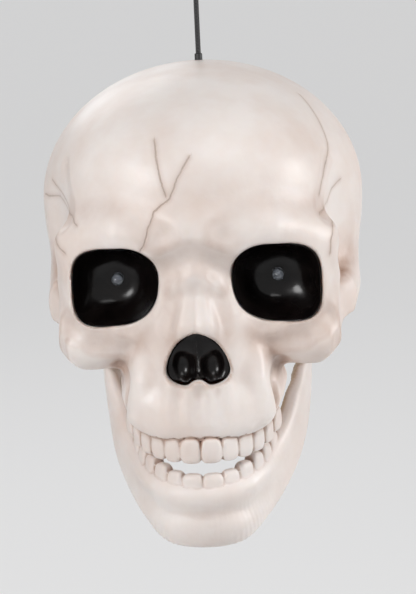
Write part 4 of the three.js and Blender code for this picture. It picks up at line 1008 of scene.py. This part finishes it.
# Jaw: a thin section carried from the chin back along the body and up to the pivot ear
jawRows = [  # middle x, y, z; half thickness, half height; quarter turns sideways and forward
    (0, -82.8, -104.2, 7.4, 16.0, 0, -0.09),
    (11.5, -80.8, -103.4, 7.4, 15.6, 0.28, -0.06),
    (21.2, -71.3, -99.0, 6.7, 13.2, 0.56, 0),
    (30.1, -57.5, -91.2, 6.2, 12.6, 0.74, 0.06),
    (37.3, -41.9, -81.0, 5.75, 13.9, 0.88, 0.28),
    (41.4, -27.6, -69.0, 5.5, 16.2, 0.97, 0.64),
    (44.4, -19.3, -55.2, 4.15, 16.2, 1, 0.87),
    (46.2, -17.0, -43.8, 2.3, 15.6, 1, 0.94),
    (46.4, -13.8, -38.4, 2.1, 12.6, 1, 0.97),
    (46.4, -8.3, -34.2, 1.95, 7.2, 1, 1),
]
jawSizes = {"power": 2.6, "wall": 3.0, "hollowEnd": 0.6, "endSlope": 140, "steps": 66, "softness": 1.2,
            "ridgeThick": 4.3, "ridgeHigh": 6.6, "ridgeDrop": 11.4, "ridgeReach": 1.32, "ridgeSoftness": 4.0}


def jawStations():
    rows = np.array(jawRows, float)
    mirror = rows[1] * np.array([-1, 1, 1, 1, 1, -1, 1])
    padded = np.vstack([mirror, rows, rows[-1:]])
    stations = []
    for share in np.linspace(0, 1, jawSizes["steps"]):
        place = share * (len(rows) - 1)
        i = min(int(place), len(rows) - 2)
        t = place - i
        a, b, c, e = padded[i:i + 4]
        slopeB, slopeC = (c - a) / 2, (e - b) / 2
        stations.append((2 * t ** 3 - 3 * t ** 2 + 1) * b + (t ** 3 - 2 * t ** 2 + t) * slopeB
                        + (3 * t ** 2 - 2 * t ** 3) * c + (t ** 3 - t ** 2) * slopeC)
    return np.array(stations, np.float32)


stations = jawStations()
stationTurn, stationLean = stations[:, 5] * np.pi / 2, stations[:, 6] * np.pi / 2
stationOut = np.stack([np.sin(stationTurn), -np.cos(stationTurn), 0 * stationTurn], 1)
stationUp = np.stack([0 * stationLean, -np.sin(stationLean), np.cos(stationLean)], 1)


def jawPlace(q):
    # nearest place on the jaw's line, and the offsets from it outward, upward and past its end
    best = np.full(len(q), 1e9, np.float32)
    which, share = np.zeros(len(q), int), np.zeros(len(q), np.float32)
    for i in range(len(stations) - 1):
        start, along = stations[i, :3], stations[i + 1, :3] - stations[i, :3]
        t = shareAlong(q, start, along)
        rest = q - start - t[:, None] * along
        far = (rest * rest).sum(1)
        closer = far < best
        best[closer], which[closer], share[closer] = far[closer], i, t[closer]
    t = share[:, None]
    mixed = stations[which] * (1 - t) + stations[which + 1] * t
    out = stationOut[which] * (1 - t) + stationOut[which + 1] * t
    up = stationUp[which] * (1 - t) + stationUp[which + 1] * t
    d = q - mixed[:, :3]
    across, along = (d * out).sum(1), (d * up).sum(1)
    past = np.sqrt(np.maximum((d * d).sum(1) - across ** 2 - along ** 2, 0))
    past = np.where((which == len(stations) - 2) & (share >= 1), past, 0)
    return (which + share) / (len(stations) - 1), mixed, across, along, past, out


def sectionField(across, along, past, thick, high):
    power = jawSizes["power"]
    reach = np.abs(across / thick) ** power + np.abs(along / high) ** power + np.abs(past / thick) ** power
    return fromReach(reach ** (1 / power), np.sqrt(across ** 2 + along ** 2 + past ** 2), -thick)


def ridgeField(q):
    # the ridge that carries the lower teeth
    row = arches["lower"]
    points = np.array([archPoint(row, turn) for turn in np.linspace(0, jawSizes["ridgeReach"], 20)])
    best = np.full(len(q), 1e9, np.float32)
    height = np.zeros(len(q), np.float32)
    for a, b in zip(points, points[1:]):
        near = a + shareAlong(q[:, :2], a, b - a)[:, None] * (b - a)
        far = ((q[:, :2] - near) ** 2).sum(1)
        closer = far < best
        best[closer] = far[closer]
        height[closer] = (rowLevel(row, near[:, 1]) - jawSizes["ridgeDrop"])[closer]
    across, along = np.sqrt(best), q[:, 2] - height
    reach = np.hypot(across / jawSizes["ridgeThick"], along / jawSizes["ridgeHigh"])
    return fromReach(reach, np.hypot(across, along), -4)


jawRolls = [  # gum under the lower teeth
    ("add", 3.5, {"path": [(0, -88.6, -94.8), (11, -86.6, -94.2), (19.8, -79.8, -92.2), (25.6, -71, -89.4),
                           (28.8, -61, -86.4), (30, -50, -83)], "radius": 4.2}),
]
jawBand = {"deep": 0.9, "high": 4.6, "level": 1.4, "fall": 15.0, "end": 0.42, "fade": 8}  # a hollow below it
jawAdds = [
    ("add", 3.0, {"at": (46.4, -27.6, -39.6), "radii": (2.2, 6.9, 10.2)}),
    ("add", 1.2, {"at": (46.3, -4, -33), "radius": 7.5, "half": 2.2}),
    ("add", 7.0, {"at": (0, -84.2, -109.2), "radii": (16, 5, 6.2)}),
]
jawCuts = [
    ("cut", 0.6, {"at": (46.3, -4, -33), "radius": 2.3, "half": 9}),
    ("cut", 0.6, {"at": (35.1, -4, -33), "radius": 7.8, "half": 9}),
]


def jawField(p):
    q = folded(p)
    share, mixed, across, along, past, _ = jawPlace(q)
    thick, high, wall = mixed[:, 3], mixed[:, 4], jawSizes["wall"]
    d = sectionField(across, along, past, thick, high)
    level = (along - jawBand["level"] + jawBand["fall"] * share) / jawBand["high"]
    fade = np.clip((jawBand["end"] - share) * jawBand["fade"], 0, 1)
    d = d + jawBand["deep"] * np.exp(-level ** 2) * fade * (across > 0)
    end = np.maximum(share - jawSizes["hollowEnd"], 0) * jawSizes["endSlope"]
    hollow = sectionField(across + wall, along, past, np.maximum(thick, 0.5), high - wall) + end
    d = blend(carve(d, hollow, jawSizes["softness"]), ridgeField(q), jawSizes["ridgeSoftness"])
    return sculpt(q, jawAdds + jawCuts, addTeeth(q, sculpt(q, jawRolls, d), lowerTeeth))


def jawInnerShade(points, normals):
    # where the thin section faces inward, which is tan in the photograph, it is painted with tan shade, and
    # less so on one side
    q = points.astype(np.float32)
    side = np.sign(q[:, 0] + 1e-6)
    turned = normals.copy()
    turned[:, 0] *= side
    _, _, across, _, _, out = jawPlace(folded(q))
    facing = np.clip(-(turned * out).sum(1) * 1.4, 0, 1) * (across < 0.5) * np.clip((q[:, 1] + 75) / 20, 0, 1)
    return facing * np.where(side > 0, 1.0, 0.35)


jawPiece = shapedPiece("jaw", jawField, ((-54, -98, -124), (54, 8, -20)), meshCells["jaw"])
paintAttributes(jawPiece, jawField, lines=False, inner=jawInnerShade)
jawPiece.data.materials.append(makeBone("washedShadedBoneJaw", cracks=False, inner=True))
give(jawPiece, "jaw", "bone", "jaw_shell")
print("skull: jaw shaped,", len(jawPiece.data.polygons), "faces")


# Eye cups, lamps and the nose insert
def makeGlossBlack():
    finish = Finish("glossSocket", Specular_IOR_Level=0.28)
    tone = finish.mix(finish.ramp(finish.noise(180.0), 0.35, 0.7), (8, 5, 5), (18, 13, 12))
    rough = finish.ramp(finish.noise(70.0, 2.0), 0.3, 0.7, 0.14, 0.3)
    waves = finish.bump(finish.noise(95.0, 2.0), 0.2, 0.0015)
    return finish.done(Base_Color=tone, Roughness=rough, Normal=waves)


glossBlack = makeGlossBlack()
cup = {"around": 96, "rings": 26, "floorFront": -62.0, "floorWidth": 13.0, "wall": 1.6, "setback": 1.2,
       "rim": 0.3, "bore": 2.8, "search": (-110.0, -40.0)}


def skinDepth(x, z):
    # the skin's depth under points seen from the front: a walk back in steps of 1, then halving
    front, back = cup["search"]

    def isInside(y):
        return skinField(np.stack([x, y, z], 1).astype(np.float32)) < 0

    near, far = np.full(len(x), front), np.full(len(x), back)
    for y in np.arange(front, back, 1.0):
        found = isInside(np.full(len(x), y)) & (far == back)
        far[found], near[found] = y, y - 1
    for _ in range(12):
        middle = (near + far) / 2
        inside = isInside(middle)
        far, near = np.where(inside, middle, far), np.where(inside, near, middle)
    return (near + far) / 2


def eyeOutline(inset):
    turn = np.arange(cup["around"]) / cup["around"] * 2 * np.pi
    c, s = np.cos(turn), np.sin(turn)
    power = np.where(c > 0, opening["outerPower"], opening["innerPower"])
    reach = (np.abs(c) ** power + np.abs(s) ** power) ** (-1 / power)
    x = c * reach * (opening["width"] / 2 - inset)
    return x, s * reach * (opening["height"] / 2 - inset) + x * opening["lean"]


def cupRings(inset, floor):
    # from the rim to the round bore in the floor
    x, z = eyeOutline(fit["clearance"] + inset)
    rimX, rimZ = eyeOutline(fit["clearance"] + min(inset, cup["rim"]))
    rim = skinDepth(fit["eyeX"] + x, fit["eyeLift"] + z) + cup["setback"]
    share = (cup["floorWidth"] - 2 * inset) / (opening["width"] - 2 * inset)
    span = (opening["width"] + opening["height"]) / 4 - inset
    roundX, roundZ = np.cos(np.arctan2(z, x)), np.sin(np.arctan2(z, x))

    def ring(x, depth, z):
        return np.stack([fit["eyeX"] + x, np.broadcast_to(depth, x.shape), fit["eyeLift"] + z], 1)

    made = []
    for i in range(cup["rings"] + 1):
        turn = i / cup["rings"] * math.pi / 2
        sunk, size = math.sin(turn), share + (1 - share) * math.cos(turn)
        rounder = sunk ** 2  # the outline turns into a circle toward the floor
        edge = (1 - sunk) ** 5  # thin at the rim
        flat = x * (1 - rounder) + span * roundX * rounder + (rimX - x) * edge
        tall = z * (1 - rounder) + span * roundZ * rounder + (rimZ - z) * edge
        made.append(ring(flat * size, rim + (floor - rim) * sunk, tall * size))
    bore = ring(cup["bore"] * roundX, floor, cup["bore"] * roundZ)
    return made + [made[-1] * 0.5 + bore * 0.5, bore]


def makeCup(side, word):
    grid = cupRings(cup["wall"], cup["floorFront"]) + cupRings(0, cup["floorFront"] + cup["wall"])[::-1]
    count, around = len(grid), cup["around"]
    vertices = np.vstack(grid) * (side, 1, 1)
    faces = []
    for i in range(count):
        band = bandOf(i * around, (i + 1) % count * around, around)
        faces += band if side < 0 else [quad[::-1] for quad in band]
    piece = addPiece(f"eye_bowl_{word}", vertices, faces, glossBlack)
    piece.data.set_sharp_from_angle(angle=math.radians(50))
    give(piece, "head", "socket_black", f"eye_cup_{word}")


for side, word in ((-1, "left"), (1, "right")):
    makeCup(side, word)
print("skull: eye cups set")


def makeClearLamp():
    finish = Finish("clearLamp", Transmission_Weight=0.92, IOR=1.5, Roughness=0.04)
    rippleGlint = finish.noise(900.0, 2.0)
    # painted shade and painted glints: the dark tint stands in for the dark seen through the clear lens, and
    # its pale speckles, from the ripple that also bumps the surface, are painted glints
    tone = finish.mix(finish.ramp(rippleGlint, 0.4, 0.7), (206, 211, 216), (120, 126, 134))
    return finish.done(Base_Color=tone, Normal=finish.bump(rippleGlint, 0.35, 0.0006))


def makeSteel():
    finish = Finish("platedSteel", Metallic=1.0, Roughness=0.3)
    tone = finish.mix(finish.ramp(finish.noise(700.0), 0.3, 0.7), (186, 188, 192), (214, 215, 218))
    return finish.done(Base_Color=tone, Roughness=finish.ramp(finish.noise(240.0), 0.3, 0.7, 0.22, 0.4))


def lathe(name, profile, at, material, around=48, axis="y", ring=False, inRow=False):
    # radius and height pairs turned round an axis; closed at both ends on it, or a ring
    angles = np.arange(around) / around * 2 * np.pi
    a, b, c = {"y": (0, 2, 1), "z": (0, 1, 2), "x": (1, 2, 0)}[axis]
    rings = []
    for radius, height in profile:
        turned = np.zeros((around if radius > 1e-6 else 1, 3))
        if radius > 1e-6:
            turned[:, a], turned[:, b] = radius * np.cos(angles), radius * np.sin(angles)
        turned[:, c] = height
        rings.append(turned + np.array(at))
    counts = [len(turned) for turned in rings]
    starts = np.concatenate([[0], np.cumsum(counts)])
    faces = []
    for i in range(len(profile) if ring else len(profile) - 1):
        j = (i + 1) % len(profile)
        for k in range(around):
            n = (k + 1) % around
            corners = [starts[row] + (place if counts[row] > 1 else 0)
                       for row, place in ((i, k), (i, n), (j, n), (j, k))]
            face = list(dict.fromkeys(corners))
            if len(face) > 2:
                faces.append(face)
    piece = addPiece(name, np.vstack(rings), faces, material, inRow=inRow)
    work = bmesh.new()
    work.from_mesh(piece.data)
    bmesh.ops.recalc_face_normals(work, faces=work.faces)
    work.to_mesh(piece.data)
    work.free()
    piece.data.set_sharp_from_angle(angle=sharpAngle)
    return piece


lamp = {
    "radius": 2.5, "flange": 2.9, "flangeThick": 1.0, "height": 8.6, "edge": 0.15,
    "core": [(0, -3.6), (0.45, -3.6), (0.95, -4.7), (1.05, -4.7), (0.8, -3.0), (0.5, -2.2), (0.5, -1.2),
             (0, -1.2)],
}
clearLamp, steel = makeClearLamp(), makeSteel()


def makeLamp(word):
    low, high = headBoxOf(f"lamp_{word}")
    at = ((low[0] + high[0]) / 2, high[1], (low[2] + high[2]) / 2)
    radius, flange, thick, edge = (lamp[key] for key in ("radius", "flange", "flangeThick", "edge"))
    profile = [(0, 0), (flange - edge, 0), (flange, -edge), (flange, edge - thick), (flange - edge, -thick),
               (radius, -thick)]
    profile += [(radius * math.cos(t), radius - lamp["height"] - radius * math.sin(t))
                for t in np.linspace(0, math.pi / 2, 12)[:-1]]
    lens = lathe(f"lamp_lens_{word}", profile + [(0, -lamp["height"])], at, clearLamp)
    give(lathe(f"lamp_core_{word}", lamp["core"], at, steel, 32), "head", "plated_steel")
    give(lens, "head", "clear_lamp", f"lamp_{word}")


for word in ("left", "right"):
    makeLamp(word)

noseInsert = {"setback": 3.0, "points": noseOutline(fit["clearance"]), "back": headBoxOf("nose_insert")[1][1]}
nostrils = [  # each form and how softly it is cut
    ({"at": (7.0, -91.0, -34.6), "radii": (5.6, 7.6, 7.6)}, 3.0),
    ({"at": (4.4, -95, -26), "radii": (6.2, 7.5, 9.5)}, 4.0),
]


def noseField(p):
    d = np.maximum(outlineField(p, noseInsert["points"]), skinField(p) + noseInsert["setback"])
    d = np.maximum(d, p[:, 1] - noseInsert["back"])
    for shape, softness in nostrils:
        d = carve(d, ballField(folded(p), shape), softness)
    return d


noseBox = ((-16, -100, -46), (16, -72, -16))
nosePiece = shapedPiece("nose_plug", noseField, noseBox, meshCells["nose"], glossBlack)
give(nosePiece, "head", "socket_black", "nose_insert")
print("skull: nose and lamps set")


def makePlastic(name, dark, pale, rough):
    finish = Finish(name, Roughness=rough)
    grain = finish.noise(600.0)
    tone = finish.mix(finish.ramp(grain, 0.3, 0.7), dark, pale)
    return finish.done(Base_Color=tone, Normal=finish.bump(grain, 0.15, 0.0002))


# Screws: two small meshes set on points by a node tree, turned at random
screwSeed = 7
screwKinds = {  # the way each head faces, its height and the shank's radius
    **{f"shell_screw_{place}": ((0, 1, 0), 2.0, 1.5)
       for place in ("upper_left", "upper_right", "lower_left", "lower_right")},
    "jaw_pivot_screw_left": ((-1, 0, 0), 2.4, 2.0), "jaw_pivot_screw_right": ((1, 0, 0), 2.4, 2.0),
    **{f"battery_box_screw_{place}": ((0, 0, 1), 1.4, 1.1) for place in ("left", "right")},
    "battery_door_screw": ((0, 0, -1), 1.2, 1.3),
}
screwShapes = {  # radius and height shares, and the arms of the cross
    "head": [(0, 0), (0.5, 0), (0.8, -0.12), (0.95, -0.4), (1, -0.7), (1, -1), (0, -1)],
    "shank": [(0, 0), (1, 0), (1, -0.92), (0.7, -1), (0, -1)],
    "cross": [(0.55, 0.13), (0.13, 0.55)],
}


def screwParts():
    head = lathe("screwHead", screwShapes["head"], (0, 0, 0), steel, 32, "z", inRow=True)
    shaped(head, cut(*(block((-a, -b, -0.7), (a, b, 1), inRow=True) for a, b in screwShapes["cross"])))
    return head, lathe("screwShank", screwShapes["shank"], (0, 0, 0), steel, 24, "z", inRow=True)


def screwTree():
    tree = bpy.data.node_groups.new("screwSet", "GeometryNodeTree")
    for name, kind in (("Points", "Geometry"), ("Head", "Object"), ("Shank", "Object"),
                       ("Finish", "Material"), ("Seed", "Int")):
        tree.interface.new_socket(name, in_out="INPUT", socket_type="NodeSocket" + kind)
    tree.interface.new_socket("Screws", in_out="OUTPUT", socket_type="NodeSocketGeometry")
    link = tree.links.new

    def add(kind, **inputs):
        made = tree.nodes.new(kind)
        for name, source in inputs.items():
            link(source, made.inputs[name])
        return made

    def attribute(name):
        node = add("GeometryNodeInputNamedAttribute")
        node.data_type = "FLOAT_VECTOR"
        node.inputs["Name"].default_value = name
        return node.outputs["Attribute"]

    given = add("NodeGroupInput").outputs
    spin = add("FunctionNodeRandomValue", Seed=given["Seed"])
    spin.inputs[3].default_value = math.pi
    turn = add("FunctionNodeEulerToRotation")
    link(add("ShaderNodeCombineXYZ", Z=spin.outputs[1]).outputs[0], turn.inputs[0])
    face = add("FunctionNodeAlignRotationToVector", Vector=attribute("out"))
    both = add("FunctionNodeRotateRotation")
    face.axis, both.rotation_space = "Z", "LOCAL"
    link(face.outputs[0], both.inputs[0])
    link(turn.outputs[0], both.inputs[1])
    join = add("GeometryNodeJoinGeometry")
    for name in ("Head", "Shank"):
        source = add("GeometryNodeObjectInfo", Object=given[name])
        place = add("GeometryNodeInstanceOnPoints", Points=given["Points"], Rotation=both.outputs[0],
                    Instance=source.outputs["Geometry"], Scale=attribute(name.lower() + "Size"))
        shift = add("GeometryNodeTranslateInstances", Instances=place.outputs[0],
                    Translation=attribute(name.lower() + "Shift"))
        shift.inputs["Local Space"].default_value = False
        link(shift.outputs[0], join.inputs[0])
    real = add("GeometryNodeRealizeInstances", Geometry=join.outputs[0])
    finish = add("GeometryNodeSetMaterial", Geometry=real.outputs[0], Material=given["Finish"])
    link(finish.outputs[0], add("NodeGroupOutput").inputs[0])
    return tree


def addScrews(name, body, nodes, tree, parts):
    rows = {"out": [], "headSize": [], "shankSize": [], "headShift": [], "shankShift": []}
    points = []
    for node in nodes:
        way, headHeight, shankRadius = screwKinds[node]
        low, high = (np.array(corner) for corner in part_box(node))
        way = np.array(way, float)
        axis = int(np.argmax(np.abs(way)))
        top = (low + high) / 2
        top[axis] = high[axis] if way[axis] > 0 else low[axis]
        radius = (high - low)[(axis + 1) % 3] / 2
        length = (high - low)[axis] - headHeight / 1000
        points.append(top)
        for key, value in (("out", way), ("headSize", (radius, radius, headHeight / 1000)),
                           ("shankSize", (shankRadius / 1000, shankRadius / 1000, length)),
                           ("headShift", (0, 0, 0)), ("shankShift", -way * headHeight / 1000)):
            rows[key].append(value)
    piece = addPiece(name, points, [], None, inRow=True)
    for key, values in rows.items():
        layer = piece.data.attributes.new(key, "FLOAT_VECTOR", "POINT")
        layer.data.foreach_set("vector", np.array(values, np.float32).ravel())
    modifier = piece.modifiers.new("screws", "NODES")
    modifier.node_group = tree
    sockets = {item.name: item.identifier for item in tree.interface.items_tree if item.in_out == "INPUT"}
    for key, value in (("Head", parts[0]), ("Shank", parts[1]), ("Finish", steel), ("Seed", screwSeed)):
        modifier[sockets[key]] = value
    settle(piece)
    give(piece, body, "plated_steel", *nodes)


parts, tree = screwParts(), screwTree()
addScrews("screws_head", "head", [name for name in screwKinds if "door" not in name], tree, parts)
addScrews("screws_door", "door", ["battery_door_screw"], tree, parts)
for part in parts:
    bpy.data.objects.remove(part)
print("skull: screws set")


# Battery door, switch slider, grommet and washers
def finishSolid(piece, name, body, node, slotName, material, edge):
    bevel = piece.modifiers.new("edges", "BEVEL")
    bevel.width, bevel.segments = edge / 1000, 2
    bevel.limit_method, bevel.angle_limit = "ANGLE", sharpAngle
    settle(piece)
    piece.name = name
    piece.data.polygons.foreach_set("use_smooth", np.ones(len(piece.data.polygons), bool))
    piece.data.set_sharp_from_angle(angle=sharpAngle)
    piece.data.materials.clear()
    piece.data.materials.append(material)
    give(piece, body, slotName, node)


door = {"size": (56.7, 26.9), "top": -43.8, "ear": 3.6, "sink": 2.8, "sinkTop": -44.5, "bore": 1.6,
        "edge": 0.3, "tongues": {"x": 16.0, "y": 13.7, "size": (8.0, 4.7), "lap": 0.6, "top": -42.4}}


def makeDoor():
    low, top, tongues, at = base["bottom"], door["top"], door["tongues"], (0, base["earY"], 0)
    steps = joined(rod("z", low, top, door["ear"], at))
    for side in (-1, 1):
        steps += joined(slab(side * tongues["x"], tongues["y"], *tongues["size"], top - tongues["lap"],
                             tongues["top"]))
    steps += cut(rod("z", low - 5, door["sinkTop"], door["sink"], at),
                 rod("z", low - 5, top + 5, door["bore"], at))
    return shaped(slab(0, base["boxY"], *door["size"], low, top), steps)


slider = {"at": (41.0, 18.2), "size": (3.0, 4.0), "low": -47.8, "high": -38.0, "groove": 0.5,
          "rows": (-1.2, 0, 1.2), "edge": 0.15}


def makeSlider():
    (x, y), (wide, _), low, groove = slider["at"], slider["size"], slider["low"], slider["groove"]
    grooves = cut(*(slab(x, y + shift, wide + 1, groove, low - 1, low + groove) for shift in slider["rows"]))
    return shaped(slab(x, y, *slider["size"], low, slider["high"]), grooves)


boneDoor = makeBone("washedShadedBoneDoor", cracks=False)
blackPlastic = makePlastic("mouldedBlack", (24, 24, 25), (36, 36, 37), 0.5)
finishSolid(makeDoor(), "door_plate", "door", "battery_door", "bone", boneDoor, door["edge"])
finishSolid(makeSlider(), "slider_knob", "slider", "switch_slider", "black_plastic", blackPlastic,
            slider["edge"])

grommet = {"bore": 1.5, "flange": 4.5, "flangeHigh": 1.2, "neck": 1.9, "top": 1.8, "round": 0.3, "tip": 0.1}
washer = {"bore": 2.2, "round": 0.15}


def addRing(name, profile, at, axis, node):
    give(lathe(name, profile, at, blackPlastic, 40, axis, ring=True), "head", "black_plastic", node)


def addRings():
    low, high = headBoxOf("cord_grommet")
    bore, flange, flangeHigh, neck, top, soft, tip = grommet.values()
    tall = high[2] - low[2]
    profile = [(bore, 0), (flange - soft, 0), (flange, soft), (flange, flangeHigh - soft),
               (flange - soft, flangeHigh), (neck, flangeHigh), (top, tall - soft), (top - tip, tall),
               (bore, tall)]
    at = ((low[0] + high[0]) / 2, (low[1] + high[1]) / 2, low[2])
    addRing("grommet_sleeve", profile, at, "z", "cord_grommet")
    bore, soft = washer.values()
    for word in ("left", "right"):
        low, high = headBoxOf(f"jaw_washer_{word}")
        radius, half = (high[2] - low[2]) / 2, (high[0] - low[0]) / 2
        profile = [(bore, -half), (radius - soft, -half), (radius, soft - half), (radius, half - soft),
                   (radius - soft, half), (bore, half)]
        addRing(f"pivot_washer_{word}", profile, (low + high) / 2, "x", f"jaw_washer_{word}")


addRings()

# The solids that stay get the same finishes
finishes = {
    "black_plastic": blackPlastic, "plated_steel": steel, "bone": boneHead, "clear_lamp": clearLamp,
    "socket_black": glossBlack, "cord_fibre": cordFibre,
    "cell_jacket": makePlastic("cellJacket", (104, 107, 110), (122, 125, 128), 0.35),
    "lead_sleeve": makePlastic("leadSleeve", (38, 38, 41), (50, 50, 54), 0.55),
}
slotOf = {entry["node"]: entry["material_slot"] for entry in frame["record"]["subparts"]}
for name, node in frame["nodes"].items():
    node.data.materials.clear()
    node.data.materials.append(finishes[slotOf[name]])
print("skull: inner parts finished")


# Floor, backdrop and light
stage = {"drop": 0.62, "half": 6.0, "front": -4.0, "depth": 4.0, "bend": 1.2, "height": 4.0,
         "grey": (0.8, 0.8, 0.8, 1), "glow": (0.93, 0.93, 0.935, 1), "glowShare": 0.6}
room = {"light": (0.93, 0.93, 0.935, 1), "strength": 0.2, "seen": (0.68, 0.68, 0.683, 1)}
lights = [  # name, place, size and power
    ("keyLeft", (-0.85, -1.1, 0.4), 0.55, 10.8),
    ("sideRight", (1.3, -0.1, 0.1), 0.5, 9.5),
    ("topFront", (0.25, -0.8, 1.05), 0.7, 5.0),
    ("rimBack", (-0.5, 1.4, 0.5), 0.9, 4.0),
]
lightTarget = Vector((0, -0.05, -0.17))


def addStage():
    floor, bend = -stage["drop"], stage["bend"]
    start = stage["depth"] - bend
    line = [(stage["front"], floor), (start, floor)]
    for turn in np.linspace(0.1, math.pi / 2, 14):
        line.append((start + bend * math.sin(turn), floor + bend - bend * math.cos(turn)))
    line.append((stage["depth"], floor + stage["height"]))
    vertices = [(x, y, z) for y, z in line for x in (-stage["half"], stage["half"])]
    faces = [(2 * i, 2 * i + 1, 2 * i + 3, 2 * i + 2) for i in range(len(line) - 1)]
    finish = Finish("paleSweep", Roughness=0.9)
    finish.shader.inputs["Base Color"].default_value = stage["grey"]
    glow = finish.node("Emission", {"Color": stage["glow"], "Strength": 1.0})
    share = finish.math("MULTIPLY", finish.seen(), stage["glowShare"])
    mixed = finish.node("MixShader", {0: share, 1: finish.shader.outputs[0], 2: glow})
    finish.feed(finish.tree.nodes["Material Output"].inputs["Surface"], mixed)
    addPiece("sweep", vertices, faces, finish.material, inRow=True)


def addLight(name, place, size, power):
    data = bpy.data.lights.new(name, "AREA")
    data.shape, data.size, data.energy = "DISK", size, power
    light = linked(name, data)
    light.location = place
    light.rotation_mode = "QUATERNION"
    light.rotation_quaternion = (lightTarget - Vector(place)).to_track_quat("-Z", "Y")


def addWorld():
    # a dim room that lights the object, and a paler one that is seen
    world = bpy.data.worlds.new("paleRoom")
    bpy.context.scene.world = world
    world.use_nodes = True
    nodes = Nodes(world.node_tree)
    dim = nodes.tree.nodes["Background"]
    dim.inputs["Color"].default_value = room["light"]
    dim.inputs["Strength"].default_value = room["strength"]
    pale = nodes.node("Background", {"Color": room["seen"], "Strength": 1.0})
    mixed = nodes.node("MixShader", {0: nodes.seen(), 1: dim, 2: pale})
    nodes.feed(nodes.tree.nodes["World Output"].inputs["Surface"], mixed)


addStage()
for light in lights:
    addLight(*light)
addWorld()
bpy.context.scene.view_settings.view_transform = "Standard"
print("skull: stage and light set")

print("skull: done")
